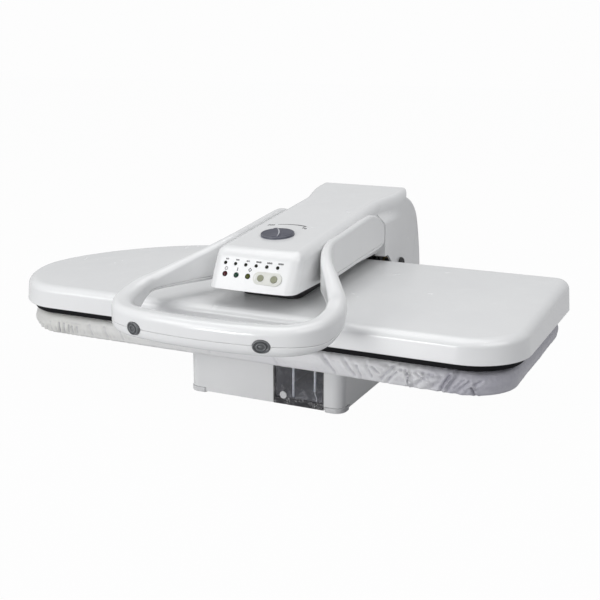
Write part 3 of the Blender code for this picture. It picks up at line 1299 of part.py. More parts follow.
def steam_button(side, hand, shells):
    place = steam_place(side)
    hole = flat_curve("steam_hole", [ellipse(GAP)], 2 * STEAM_DEPTH)
    hole.matrix_world = place
    hole_cutter = mesh_from_curve("steam_hole_cutter_" + hand, hole, None, cutters)
    for shell in shells:
        cut(shell, hole_cutter)
    rounding = STEAM_PROUD * EDGE_SHARE
    levels = ((0, -STEAM_DEPTH), (0, STEAM_PROUD / 2), (-rounding, STEAM_PROUD - rounding / 2),
              (-STEAM_PROUD, STEAM_PROUD))
    rings = [[(u, v, z) for u, v in ellipse(extra)] for extra, z in levels]
    button = loft("steam_button_" + hand, rings, "grey_plastic")
    button.matrix_world = place
    back = -STEAM_DEPTH - STEAM_TRAVEL - GAP
    seat = steam_row(side)[3] + HANDLE_WALL + 2 * GAP - place.translation.z
    switch = box("steam_switch_" + hand, (-SWITCH_LENGTH / 2, seat, back - SWITCH_DEPTH),
                 (SWITCH_LENGTH / 2, SWITCH_HEIGHT / 2, back), "black_rubber")
    switch.matrix_world = place


def make_handle():
    upper = handle_shell("handle_upper_shell", True)
    lower = handle_shell("handle_lower_shell", False)
    cut(upper, handle_pin_cutter())
    for side, hand in ((-1, "left"), (1, "right")):
        steam_button(side, hand, (upper, lower))
    bar_half = HANDLE_PLATE_THICKNESS / 2 - HANDLE_WALL - GAP
    rear = HANDLE_PIVOT_Y
    front = HANDLE_BAR_FRONT
    drop = (arm_top(rear) - arm_top(front))
    outline = stadium((front, HANDLE_PIVOT_Z - drop), (rear, HANDLE_PIVOT_Z), HANDLE_BAR_HEIGHT / 2)
    bore = circle(HANDLE_PIVOT_Y, HANDLE_PIVOT_Z, HANDLE_PIN_RADIUS + GAP)
    for side, hand in ((-1, "left"), (1, "right")):
        middle = side * HANDLE_PLATE_X
        side_plate("handle_side_bar_" + hand, [outline, bore], middle - bar_half, middle + bar_half,
                   "steel_zinc")
    half = HANDLE_PLATE_X + bar_half - GAP
    pin = rods("handle_pivot_shaft", [((-half, HANDLE_PIVOT_Y, HANDLE_PIVOT_Z),
                                       (half, HANDLE_PIVOT_Y, HANDLE_PIVOT_Z))],
               HANDLE_PIN_RADIUS, "spring_steel")
    pivot = (HANDLE_PIVOT_Y, HANDLE_PIVOT_Z)
    inner = LINK_THICKNESS / 2 + RUN_GAP
    strap = stadium(pivot, crank_tip, CRANK_HALF_WIDTH)
    for side, hand in ((-1, "left"), (1, "right")):
        low, high = sorted((side * inner, side * (inner + CRANK_STRAP)))
        cut(pin, side_plate("crank_" + hand + "_cutter", [strap], low, high, None, cutters), "UNION")
    stub = rods("crank_tip_cutter", [((-inner - CRANK_STRAP / 2, *crank_tip),
                                      (inner + CRANK_STRAP / 2, *crank_tip))],
                LINK_PIN_RADIUS, None, SMALL_SIDES, cutters)
    cut(pin, stub, "UNION")
    holes = [circle(*link_pin_spot, LINK_PIN_RADIUS + GAP, SMALL_SIDES),
             circle(*crank_tip, LINK_PIN_RADIUS + LINK_EYE_SLACK, SMALL_SIDES)]
    side_plate("toggle_link", [stadium(link_pin_spot, crank_tip, LINK_HALF_WIDTH)] + holes,
               -LINK_THICKNESS / 2, LINK_THICKNESS / 2, "steel_zinc")


def hang(name, spot, node_names):
    # an empty on a joint's axis carries the pieces that move on it
    pivot = bpy.data.objects.new(name, None)
    parts.objects.link(pivot)
    pivot.location = spot
    for node_name in node_names:
        node = bpy.data.objects[node_name]
        node.parent = pivot
        node.matrix_parent_inverse = Matrix.Translation(Vector(spot)).inverted()


def hang_moving_parts():
    sides = ("left", "right")
    hang("toggle_axis", (0, *link_pin_spot), ["toggle_link"])
    hang("handle_axis", (0, HANDLE_PIVOT_Y, HANDLE_PIVOT_Z),
         ["handle_upper_shell", "handle_lower_shell", "handle_pivot_shaft"]
         + ["handle_side_bar_" + hand for hand in sides] + ["steam_switch_" + hand for hand in sides])
    hang("dial_axis", dial_place().translation, ["temperature_dial", "dial_shaft"])
    hang("arm_axis", (0, HINGE_Y, HINGE_Z),
         ["arm_cover", "arm_rear_cover", "arm_under_cover", "arm_frame", "shoe_bracket", "shoe_cover",
          "shoe_seal", "heat_plate", "heating_element", "steam_chamber", "thermostat", "control_board",
          "button_bezel", "indicator_light_strip", "indicator_lens_red", "indicator_lens_green",
          "indicator_lens_yellow"]
         + ["hinge_bush_" + hand for hand in sides] + ["pivot_cap_" + hand for hand in sides]
         + ["shoe_standoff_" + row + "_" + hand for row in ("front", "rear") for hand in sides])
    hang("tank_axis", (0, -BASE_FRONT, 0), ["water_tank", "tank_plug", "tank_tubes"])


def settle_on_origin():
    # the origin is the middle of the underside of the whole press's box
    bpy.context.view_layer.update()
    graph = bpy.context.evaluated_depsgraph_get()
    corners = []
    for obj in parts.objects:
        if obj.type == "MESH":
            seen = obj.evaluated_get(graph)
            corners += [seen.matrix_world @ vert.co for vert in seen.data.vertices]
    low = [min(spot[k] for spot in corners) for k in (0, 1, 2)]
    high = [max(spot[k] for spot in corners) for k in (0, 1, 2)]
    root = bpy.data.objects.new("press_root", None)
    parts.objects.link(root)
    for obj in list(parts.objects) + list(cutters.objects):
        if obj is not root and obj.parent is None:
            obj.parent = root
    root.location = (-(low[0] + high[0]) / 2, -(low[1] + high[1]) / 2, -low[2])
    print("shift", [round(v, 5) for v in root.location], "size",
          [round(b - a, 4) for a, b in zip(low, high)])


foot_cutter = make_feet()
make_base(foot_cutter)
make_tank()
make_pump()
make_column()
make_springs()
make_board()
make_shoe()
make_bracket()
make_arm_covers()
make_arm_frame()
make_under_cover()
make_panel()
make_dial()
make_handle()
hang_moving_parts()
settle_on_origin()
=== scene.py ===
# Steam ironing press: looks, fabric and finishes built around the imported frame.
# Sizes are in metres. Their zero is on the ground, on the base's middle line and baseFront behind its front.
import math
import random

import bmesh
import bpy
from mathutils import Matrix, Vector, noise
from mathutils.bvhtree import BVHTree


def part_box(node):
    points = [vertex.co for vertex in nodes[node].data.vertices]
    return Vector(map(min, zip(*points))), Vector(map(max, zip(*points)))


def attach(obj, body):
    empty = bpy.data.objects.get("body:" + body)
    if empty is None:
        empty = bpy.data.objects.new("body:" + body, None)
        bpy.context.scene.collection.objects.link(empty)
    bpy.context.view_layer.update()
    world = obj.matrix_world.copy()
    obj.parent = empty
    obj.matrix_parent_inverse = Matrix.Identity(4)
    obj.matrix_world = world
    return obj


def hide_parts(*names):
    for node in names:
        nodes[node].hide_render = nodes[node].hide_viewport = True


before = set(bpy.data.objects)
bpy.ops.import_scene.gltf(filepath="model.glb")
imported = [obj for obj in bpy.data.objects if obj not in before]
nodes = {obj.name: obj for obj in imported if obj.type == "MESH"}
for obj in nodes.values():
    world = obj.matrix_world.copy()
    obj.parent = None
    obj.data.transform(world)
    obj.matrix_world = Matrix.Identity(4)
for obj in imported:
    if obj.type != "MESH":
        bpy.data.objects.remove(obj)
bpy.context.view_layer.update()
random.seed(7)

# sizes the whole press shares
press = {
    "gap": 0.0003,
    "wall": 0.0025,
    "softRim": 0.0004,
    "cutterOver": 0.004,
    "grainDepth": 0.0002,
    "baseFront": 0.0945,
    "shoeFront": 0.1455,
    "shoeRear": 0.150,
    "shoeRight": 0.326,
    "shoeLeft": 0.371,
    "frontCorner": 0.068,
    "backCorner": 0.022,
    "noseFrontStart": 0.285,
    "noseBackStart": 0.150,
    "noseTipForward": 0.043,
    "noseFrontPull": 0.045,
    "noseTipFrontPull": 0.050,
    "noseTipBackPull": 0.070,
    "noseBackPull": 0.105,
    "cornerSteps": 14,
    "noseSteps": 44,
}

baseLow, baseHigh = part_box("base_housing")
homeShift = Vector(((baseLow.x + baseHigh.x) / 2, baseLow.y + press["baseFront"], 0))
print("frame loaded,", len(nodes), "nodes, shift", tuple(round(v, 5) for v in homeShift))


# camera first
cameraSetup = {
    "place": (0.5811, -1.18285, 0.4496),
    "azimuth": 25.36,
    "elevation": 14.75,
    "lens": 61.75,
}


def makeCamera(setup):
    data = bpy.data.cameras.new("photoCamera")
    data.lens = setup["lens"]
    camera = bpy.data.objects.new("photoCamera", data)
    bpy.context.scene.collection.objects.link(camera)
    turn = math.radians(setup["azimuth"])
    rise = math.radians(setup["elevation"])
    back = Vector((math.sin(turn) * math.cos(rise), -math.cos(turn) * math.cos(rise), math.sin(rise)))
    camera.location = setup["place"]
    camera.rotation_mode = "QUATERNION"
    camera.rotation_quaternion = (-back).to_track_quat("-Z", "Y")
    bpy.context.scene.camera = camera


makeCamera(cameraSetup)


# small helpers
def addPiece(name, mesh, material, smooth=40):
    # a finished piece: its place is in its mesh, its object sits at the origin
    obj = bpy.data.objects.new(name, mesh)
    bpy.context.scene.collection.objects.link(obj)
    mesh.materials.clear()
    if material:
        mesh.materials.append(material)
    smoothUpTo(mesh, smooth)
    return obj


def smoothUpTo(mesh, degrees):
    mesh.shade_smooth()
    mesh.set_sharp_from_angle(angle=math.radians(degrees))


def meshFrom(name, bm, recalc=True):
    if recalc:
        bmesh.ops.recalc_face_normals(bm, faces=bm.faces)
    mesh = bpy.data.meshes.new(name)
    bm.to_mesh(mesh)
    bm.free()
    return mesh


def bakedMesh(obj):
    # the object's mesh with its modifiers applied
    bpy.context.view_layer.update()
    seen = obj.evaluated_get(bpy.context.evaluated_depsgraph_get())
    return bpy.data.meshes.new_from_object(seen)


def settle(obj, weighted=True):
    # apply the modifiers and the place, then move from the press's own zero to the frame's
    if weighted:
        mod = obj.modifiers.new("even normals", "WEIGHTED_NORMAL")
        mod.keep_sharp = True
        mod.weight = 80
    mesh = bakedMesh(obj)
    mesh.transform(Matrix.Translation(homeShift) @ obj.matrix_world)
    old = obj.data
    obj.modifiers.clear()
    obj.data = mesh
    obj.matrix_world = Matrix.Identity(4)
    bpy.data.meshes.remove(old)
    mesh.name = obj.name
    return obj


def finishPiece(obj, node, body):
    if node:
        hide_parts(node)
    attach(obj, body)
    return obj


def plainPiece(name, mesh, finish, smooth, node, body):
    # a piece that needs no Boolean and no rounding: made, settled and declared
    piece = settle(addPiece(name, mesh, materials[finish], smooth), weighted=False)
    return finishPiece(piece, node, body)


def bridge(bm, first, second):
    # a closed band of faces between two rows of as many points
    for k in range(len(first)):
        after = (k + 1) % len(first)
        bm.faces.new((first[k], second[k], second[after], first[after]))


def closeFan(bm, rows):
    # bands outward from the single vertex of the first row, and one face across the last row
    count = len(rows[1])
    for k in range(count):
        bm.faces.new((rows[0][0], rows[1][k], rows[1][(k + 1) % count]))
    for inner, outer in zip(rows[1:], rows[2:]):
        bridge(bm, inner, outer)
    bm.faces.new(rows[-1][::-1])


def circlePoints(radius, z, steps):
    return [(radius * math.cos(a), radius * math.sin(a), z)
            for a in (2 * math.pi * k / steps for k in range(steps))]


def ringLoft(name, rings, capStart=True, capEnd=True):
    bm = bmesh.new()
    rows = [[bm.verts.new(point) for point in ring] for ring in rings]
    count = len(rows[0])
    for lower, upper in zip(rows, rows[1:]):
        for k in range(count):
            after = (k + 1) % count
            bm.faces.new((lower[k], lower[after], upper[after], upper[k]))
    if capStart:
        bm.faces.new(rows[0][::-1])
    if capEnd:
        bm.faces.new(rows[-1])
    return meshFrom(name, bm)


def arcPoints(u, v, radius, start, end, steps):
    turns = [start + (end - start) * k / steps for k in range(steps + 1)]
    return [(u + radius * math.cos(a), v + radius * math.sin(a)) for a in turns]


def bezierPoints(p0, p1, p2, p3, steps):
    points = []
    for k in range(1, steps + 1):
        t = k / steps
        s = 1 - t
        held = list(zip((s ** 3, 3 * s * s * t, 3 * s * t * t, t ** 3), (p0, p1, p2, p3)))
        points.append(tuple(sum(weight * point[axis] for weight, point in held) for axis in (0, 1)))
    return points


def roundedBox(left, right, front, rear, radius, steps=8):
    points = arcPoints(right - radius, front + radius, radius, -math.pi / 2, 0, steps)
    points += arcPoints(right - radius, rear - radius, radius, 0, math.pi / 2, steps)
    points += arcPoints(left + radius, rear - radius, radius, math.pi / 2, math.pi, steps)
    points += arcPoints(left + radius, front + radius, radius, math.pi, 3 * math.pi / 2, steps)
    return points


def lathe(name, profile, place, steps=48):
    # (radius, height) pairs turned about local Z; ends on the axis close with a fan
    bm = bmesh.new()
    rows = []
    for radius, height in profile:
        if radius < 1e-7:
            rows.append([bm.verts.new((0, 0, height))])
        else:
            rows.append([bm.verts.new(point) for point in circlePoints(radius, height, steps)])
    for upper, lower in zip(rows, rows[1:]):
        if len(upper) == len(lower):
            bridge(bm, upper, lower)
            continue
        for k in range(steps):
            after = (k + 1) % steps
            if len(upper) == 1:
                bm.faces.new((upper[0], lower[k], lower[after]))
            else:
                bm.faces.new((upper[k], lower[0], upper[after]))
    bm.transform(place)
    return meshFrom(name, bm)


# materials
def newGroup(name, inputs, outputs):
    tree = bpy.data.node_groups.new(name, "ShaderNodeTree")
    for label, kind, value in inputs:
        socket = tree.interface.new_socket(label, in_out="INPUT", socket_type=kind)
        if value is not None:
            socket.default_value = value
    for label, kind in outputs:
        tree.interface.new_socket(label, in_out="OUTPUT", socket_type=kind)
    return tree, tree.nodes.new("NodeGroupInput"), tree.nodes.new("NodeGroupOutput")


def addNode(tree, kind, **settings):
    node = tree.nodes.new(kind)
    for key, value in settings.items():
        if key in node.inputs:
            node.inputs[key].default_value = value
        else:
            setattr(node, key, value)
    return node


def addMath(tree, operation, first, second=None, third=None):
    node = tree.nodes.new("ShaderNodeMath")
    node.operation = operation
    for k, value in enumerate((first, second, third)):
        if value is None:
            continue
        if isinstance(value, (int, float)):
            node.inputs[k].default_value = value
        else:
            tree.links.new(value, node.inputs[k])
    return node.outputs[0]


def noiseOf(tree, vector, scale, detail=3.0, rough=0.5):
    node = addNode(tree, "ShaderNodeTexNoise", Scale=scale, Detail=detail, Roughness=rough)
    tree.links.new(vector, node.inputs["Vector"])
    return node.outputs["Fac"]


def reversedOf(tree, value):
    return addMath(tree, "SUBTRACT", 1.0, value)


def mixedShader(tree, share, first, second):
    mix = tree.nodes.new("ShaderNodeMixShader")
    for socket, output in zip(mix.inputs, (share, first, second)):
        tree.links.new(output, socket)
    return mix.outputs[0]


def rampOf(tree, value, low, high):
    node = tree.nodes.new("ShaderNodeMapRange")
    node.clamp = True
    node.inputs["From Min"].default_value = low
    node.inputs["From Max"].default_value = high
    tree.links.new(value, node.inputs["Value"])
    return node.outputs["Result"]


def makeSurfaceGroup():
    # what every moulded or painted surface has: fine grain, faint clouding, smudges, and lighter sharp edges
    # that are partly wear and partly a painted edge highlight
    tree, start, end = newGroup("mouldedSurface", [
        ("Vector", "NodeSocketVector", None), ("Grain Scale", "NodeSocketFloat", 900.0),
        ("Cloud Scale", "NodeSocketFloat", 9.0)],
        [("Grain", "NodeSocketFloat"), ("Cloud", "NodeSocketFloat"), ("Smudge", "NodeSocketFloat"),
         ("Edge", "NodeSocketFloat")])
    grain = addNode(tree, "ShaderNodeTexNoise", Detail=2.0)
    tree.links.new(start.outputs["Vector"], grain.inputs["Vector"])
    tree.links.new(start.outputs["Grain Scale"], grain.inputs["Scale"])
    cloud = addNode(tree, "ShaderNodeTexNoise", Detail=4.0, Roughness=0.55)
    tree.links.new(start.outputs["Vector"], cloud.inputs["Vector"])
    tree.links.new(start.outputs["Cloud Scale"], cloud.inputs["Scale"])
    smudge = addNode(tree, "ShaderNodeTexNoise", Scale=28.0, Detail=6.0, Roughness=0.65, Distortion=0.6)
    tree.links.new(start.outputs["Vector"], smudge.inputs["Vector"])
    geometry = tree.nodes.new("ShaderNodeNewGeometry")
    tree.links.new(grain.outputs["Fac"], end.inputs["Grain"])
    tree.links.new(rampOf(tree, cloud.outputs["Fac"], 0.35, 0.70), end.inputs["Cloud"])
    tree.links.new(rampOf(tree, smudge.outputs["Fac"], 0.50, 0.75), end.inputs["Smudge"])
    # painted edge highlight, partly wear: sharp convex edges are picked out for a lighter colour
    tree.links.new(rampOf(tree, geometry.outputs["Pointiness"], 0.515, 0.60), end.inputs["Edge"])
    return tree


def makeWeaveGroup():
    # plain weave: over and under threads with slubs, on object coordinates
    tree, start, end = newGroup("clothWeave", [
        ("Vector", "NodeSocketVector", None), ("Threads", "NodeSocketFloat", 1400.0)],
        [("Height", "NodeSocketFloat"), ("Tint", "NodeSocketFloat"), ("Slub", "NodeSocketFloat")])
    waves = []
    for axis in (0, 1, 2):
        split = tree.nodes.new("ShaderNodeSeparateXYZ")
        tree.links.new(start.outputs["Vector"], split.inputs[0])
        scaled = addMath(tree, "MULTIPLY", split.outputs[axis], start.outputs["Threads"])
        waves.append(addMath(tree, "SINE", scaled))
    pair = addMath(tree, "MULTIPLY", waves[0], addMath(tree, "ADD", waves[1], waves[2]))
    height = addMath(tree, "MULTIPLY_ADD", pair, 0.25, 0.5)
    slub = addNode(tree, "ShaderNodeTexNoise", Scale=160.0, Detail=3.0, Roughness=0.6)
    tree.links.new(start.outputs["Vector"], slub.inputs["Vector"])
    tint = addNode(tree, "ShaderNodeTexNoise", Scale=14.0, Detail=5.0, Roughness=0.6)
    tree.links.new(start.outputs["Vector"], tint.inputs["Vector"])
    tree.links.new(height, end.inputs["Height"])
    tree.links.new(rampOf(tree, tint.outputs["Fac"], 0.35, 0.70), end.inputs["Tint"])
    tree.links.new(rampOf(tree, slub.outputs["Fac"], 0.40, 0.70), end.inputs["Slub"])
    return tree


surfaceGroup = makeSurfaceGroup()
weaveGroup = makeWeaveGroup()


def startMaterial(name, colour, rough, metal=0.0, **sockets):
    made = bpy.data.materials.new(name)
    made.use_nodes = True
    tree = made.node_tree
    shader = tree.nodes["Principled BSDF"]
    shader.inputs["Base Color"].default_value = (*colour, 1)
    shader.inputs["Roughness"].default_value = rough
    shader.inputs["Metallic"].default_value = metal
    for key, value in sockets.items():
        shader.inputs[key.replace("_", " ")].default_value = value
    place = tree.nodes.new("ShaderNodeTexCoord")
    return made, tree, shader, place.outputs["Object"]


def mixColour(tree, factor, first, second):
    node = tree.nodes.new("ShaderNodeMix")
    node.data_type = "RGBA"
    tree.links.new(factor, node.inputs["Factor"])
    for socket, value in ((node.inputs[6], first), (node.inputs[7], second)):
        if isinstance(value, tuple):
            socket.default_value = (*value, 1)
        else:
            tree.links.new(value, socket)
    return node.outputs[2]


def bumpInto(tree, shader, height, strength, distance):
    bump = addNode(tree, "ShaderNodeBump", Strength=strength, Distance=distance)
    tree.links.new(height, bump.inputs["Height"])
    tree.links.new(bump.outputs["Normal"], shader.inputs["Normal"])


def mouldedMaterial(name, look):
    extras = look.get("extras", {})
    made, tree, shader, place = startMaterial(name, look["colour"], look["rough"], extras.get("metal", 0.0),
                                              **extras.get("sockets", {}))
    group = tree.nodes.new("ShaderNodeGroup")
    group.node_tree = surfaceGroup
    tree.links.new(place, group.inputs["Vector"])
    group.inputs["Grain Scale"].default_value = look["grainScale"]
    group.inputs["Cloud Scale"].default_value = extras.get("cloudScale", 9.0)
    clouded = mixColour(tree, group.outputs["Cloud"], look["colour"], look["shade"])
    # the lighter edge colour: partly wear, partly a painted highlight on sharp edges
    worn = mixColour(tree, addMath(tree, "MULTIPLY", group.outputs["Edge"], 0.5), clouded, look["worn"])
    tree.links.new(worn, shader.inputs["Base Color"])
    rough = addMath(tree, "MULTIPLY", group.outputs["Smudge"], look["smudge"])
    tree.links.new(addMath(tree, "ADD", rough, look["rough"]), shader.inputs["Roughness"])
    bumpInto(tree, shader, group.outputs["Grain"], look["bump"], press["grainDepth"])
    return made


# per finish: colour, cloudy shade, edge colour (partly wear, partly a painted edge highlight), roughness,
# smudges, grain scale, bump, then extras
lookKeys = ("colour", "shade", "worn", "rough", "smudge", "grainScale", "bump", "extras")
plasticLooks = {
    "shellWhite": ((0.83, 0.835, 0.835), (0.8, 0.805, 0.81), (0.86, 0.86, 0.86),
        0.2, 0.1, 700.0, 0.06, {"sockets": {"Coat_Weight": 0.25, "Coat_Roughness": 0.12}}),
    "buttonGrey": ((0.115, 0.12, 0.125), (0.09, 0.095, 0.1), (0.3, 0.31, 0.32),
        0.28, 0.12, 1500.0, 0.15),
    "dialSlate": ((0.066, 0.069, 0.098), (0.05, 0.053, 0.076), (0.34, 0.35, 0.38),
        0.34, 0.14, 1500.0, 0.15, {"sockets": {"Specular_IOR_Level": 0.3}}),
    # painted highlight: the light grey of the strip along the dial's ridge
    "dialBright": ((0.42, 0.43, 0.47), (0.36, 0.37, 0.41), (0.5, 0.51, 0.54),
        0.22, 0.1, 1500.0, 0.05),
    "bezelBeige": ((0.72, 0.725, 0.68), (0.66, 0.665, 0.62), (0.76, 0.76, 0.73),
        0.42, 0.1, 1500.0, 0.1),
    "padOlive": ((0.3, 0.31, 0.22), (0.24, 0.25, 0.17), (0.44, 0.45, 0.36),
        0.58, 0.1, 1800.0, 0.2),
    "rubberBlack": ((0.014, 0.014, 0.015), (0.01, 0.01, 0.011), (0.05, 0.05, 0.05),
        0.62, 0.15, 1600.0, 0.25),
    "bootGrey": ((0.76, 0.765, 0.77), (0.71, 0.71, 0.72), (0.7, 0.7, 0.7),
        0.5, 0.12, 1400.0, 0.2),
    "tubeWhite": ((0.92, 0.92, 0.91), (0.86, 0.86, 0.85), (0.94, 0.94, 0.93),
        0.35, 0.1, 1500.0, 0.05, {"sockets": {"Subsurface_Weight": 0.1}}),
    "plateCoat": ((0.004, 0.004, 0.005), (0.003, 0.003, 0.004), (0.03, 0.03, 0.034),
        0.6, 0.15, 1300.0, 0.12, {"sockets": {"Specular_IOR_Level": 0.1}}),
    "circuitGreen": ((0.02, 0.16, 0.07), (0.015, 0.12, 0.05), (0.1, 0.24, 0.14),
        0.4, 0.15, 1200.0, 0.1),
    "zincSteel": ((0.56, 0.57, 0.58), (0.46, 0.47, 0.49), (0.68, 0.68, 0.68),
        0.34, 0.2, 500.0, 0.1, {"metal": 1.0, "cloudScale": 40.0}),
    "springSteel": ((0.3, 0.3, 0.31), (0.22, 0.22, 0.24), (0.45, 0.45, 0.45),
        0.28, 0.2, 900.0, 0.08, {"metal": 1.0}),
    "castAluminium": ((0.52, 0.52, 0.53), (0.42, 0.42, 0.43), (0.66, 0.66, 0.66),
        0.48, 0.2, 450.0, 0.45, {"metal": 1.0}),
    "brassSatin": ((0.7, 0.55, 0.25), (0.58, 0.44, 0.2), (0.82, 0.68, 0.38),
        0.32, 0.2, 700.0, 0.08, {"metal": 1.0}),
    "foamFelt": ((0.7, 0.66, 0.5), (0.62, 0.58, 0.44), (0.74, 0.7, 0.56),
        0.95, 0.03, 350.0, 0.6),
    "lensRed": ((0.045, 0.003, 0.006), (0.06, 0.005, 0.01), (0.22, 0.03, 0.04),
        0.1, 0.05, 900.0, 0.02, {"sockets": {"Specular_IOR_Level": 0.22}}),
    "lensGreen": ((0.003, 0.032, 0.018), (0.005, 0.04, 0.022), (0.03, 0.18, 0.1),
        0.1, 0.05, 900.0, 0.02, {"sockets": {"Specular_IOR_Level": 0.22}}),
    "lensYellow": ((0.05, 0.056, 0.006), (0.06, 0.07, 0.008), (0.22, 0.24, 0.05),
        0.1, 0.05, 900.0, 0.02, {"sockets": {"Specular_IOR_Level": 0.22}}),
    "lensDark": ((0.012, 0.013, 0.008), (0.009, 0.01, 0.006), (0.05, 0.05, 0.04),
        0.12, 0.05, 900.0, 0.02, {"sockets": {"Specular_IOR_Level": 0.15}}),
    "printGrey": ((0.085, 0.085, 0.09), (0.11, 0.11, 0.12), (0.16, 0.16, 0.16),
        0.8, 0.05, 1500.0, 0.05, {"sockets": {"Specular_IOR_Level": 0.05}}),
}
materials = {name: mouldedMaterial(name, dict(zip(lookKeys, row))) for name, row in plasticLooks.items()}


smokeLook = {
    "tint": (0.42, 0.42, 0.44),
    "dark": (0.03, 0.03, 0.034),
    "speck": (0.75, 0.75, 0.76),
    "clear": 0.92,
    "clearWall": 0.20,
    "clearTint": (0.98, 0.98, 1.0, 1),
    "faceBack": -0.0913,
    "frame": (0.0160, 0.0806, 0.0090),
    "frameBlur": 0.0003,
    "speckTop": (0.028, 0.010),
    "speckFew": 0.03,
    "speckMost": 0.75,
}


def makeSmoke(look):
    # dark clear plastic of the tank: see-through in its face, dark at its frame and walls, specks low down
    made, tree, shader, place = startMaterial("smokeClear", look["tint"], 0.07)
    split = tree.nodes.new("ShaderNodeSeparateXYZ")
    tree.links.new(place, split.inputs[0])
    x, y, z = split.outputs
    left, right, low = look["frame"]
    shift, blur = homeShift, look["frameBlur"]
    inside = addMath(tree, "MULTIPLY", rampOf(tree, x, left + shift.x - blur, left + shift.x + blur),
                     rampOf(tree, z, low - blur, low + blur))
    edge = rampOf(tree, x, right + shift.x - blur, right + shift.x + blur)
    inside = addMath(tree, "MULTIPLY", inside, reversedOf(tree, edge))
    dots = addNode(tree, "ShaderNodeTexVoronoi", Scale=900.0)
    tree.links.new(place, dots.inputs["Vector"])
    patch = noiseOf(tree, place, 130.0, 4.0, 0.6)
    dotted = reversedOf(tree, rampOf(tree, dots.outputs["Distance"], 0.20, 0.42))
    specks = addMath(tree, "MULTIPLY", dotted, rampOf(tree, patch, 0.42, 0.62))
    high, full = look["speckTop"]
    down = reversedOf(tree, rampOf(tree, z, full, high))
    specks = addMath(tree, "MULTIPLY", specks, addMath(tree, "MULTIPLY_ADD", down, look["speckMost"]))
    specks.node.inputs[2].default_value = look["speckFew"]
    framed = mixColour(tree, inside, look["dark"], look["tint"])
    tree.links.new(mixColour(tree, specks, framed, look["speck"]), shader.inputs["Base Color"])
    scuff = noiseOf(tree, place, 60.0, 6.0, 0.7)
    rough = addMath(tree, "MULTIPLY_ADD", rampOf(tree, scuff, 0.50, 0.80), 0.18, 0.06)
    tree.links.new(rough, shader.inputs["Roughness"])
    bumpInto(tree, shader, noiseOf(tree, place, 400.0), 0.03, press["grainDepth"])
    behind = rampOf(tree, y, look["faceBack"] + shift.y - 0.0002, look["faceBack"] + shift.y + 0.0002)
    share = addMath(tree, "MULTIPLY_ADD", behind, look["clearWall"] - look["clear"], look["clear"])
    share = addMath(tree, "MULTIPLY", share, inside)
    share = addMath(tree, "MULTIPLY", share, reversedOf(tree, specks))
    clear = addNode(tree, "ShaderNodeBsdfTransparent", Color=look["clearTint"])
    mixed = mixedShader(tree, share, shader.outputs[0], clear.outputs[0])
    tree.links.new(mixed, tree.nodes["Material Output"].inputs["Surface"])
    return made


materials["smokeClear"] = makeSmoke(smokeLook)

fabricLook = {
    "threads": 2600.0,
    "warm": (0.74, 0.74, 0.705),
    "silver": (0.84, 0.84, 0.85),
    # painted shade colour for the hollows of the folds
    "hollow": (0.34, 0.33, 0.38),
    # lavender tint of the cloth, also the painted shade of the square end
    "lavenderAndShade": (0.46, 0.455, 0.505),
    "warmEnd": (-0.24, 0.05),
    "shadedCoolEnd": (0.225, 0.290),
    "slub": (0.78, 0.78, 0.77),
}


def makeFabric(look):
    # silver coated cotton: warmer at the nose; cooler and darker round the square end, a lavender tint with
    # painted shade where less light falls; painted shade in the hollows of its folds
    made, tree, shader, place = startMaterial("coverFabric", look["silver"], 0.55, 0.0,
                                              Sheen_Weight=0.25, Sheen_Roughness=0.4)
    group = tree.nodes.new("ShaderNodeGroup")
    group.node_tree = weaveGroup
    tree.links.new(place, group.inputs["Vector"])
    group.inputs["Threads"].default_value = look["threads"]
    split = tree.nodes.new("ShaderNodeSeparateXYZ")
    tree.links.new(place, split.inputs[0])
    along = split.outputs[0]
    base = mixColour(tree, rampOf(tree, along, *look["warmEnd"]), look["warm"], look["silver"])
    ragged = addMath(tree, "MULTIPLY_ADD", group.outputs["Tint"], 0.04, along)
    # painted shade: the square end is drawn darker and cooler, where less light falls; the same lavender also
    # gives the cloth's random blotches
    coolShaded = mixColour(tree, rampOf(tree, ragged, *look["shadedCoolEnd"]), base, look["lavenderAndShade"])
    tinted = addMath(tree, "MULTIPLY", group.outputs["Tint"], 0.22)
    blotched = mixColour(tree, tinted, coolShaded, look["lavenderAndShade"])
    slubbed = addMath(tree, "MULTIPLY", group.outputs["Slub"], 0.18)
    threads = mixColour(tree, slubbed, blotched, look["slub"])
    # painted shade: the cloth is darkened in the hollows of its folds
    geometry = tree.nodes.new("ShaderNodeNewGeometry")
    sunk = reversedOf(tree, rampOf(tree, geometry.outputs["Pointiness"], 0.455, 0.497))
    foldShaded = mixColour(tree, addMath(tree, "MULTIPLY", sunk, 0.55), threads, look["hollow"])
    tree.links.new(foldShaded, shader.inputs["Base Color"])
    rough = addMath(tree, "MULTIPLY_ADD", group.outputs["Slub"], 0.15, 0.42)
    tree.links.new(rough, shader.inputs["Roughness"])
    height = addMath(tree, "MULTIPLY_ADD", group.outputs["Slub"], 0.6, group.outputs["Height"])
    bumpInto(tree, shader, height, 0.35, 0.0003)
    return made


materials["coverFabric"] = makeFabric(fabricLook)
print("materials made:", len(materials))


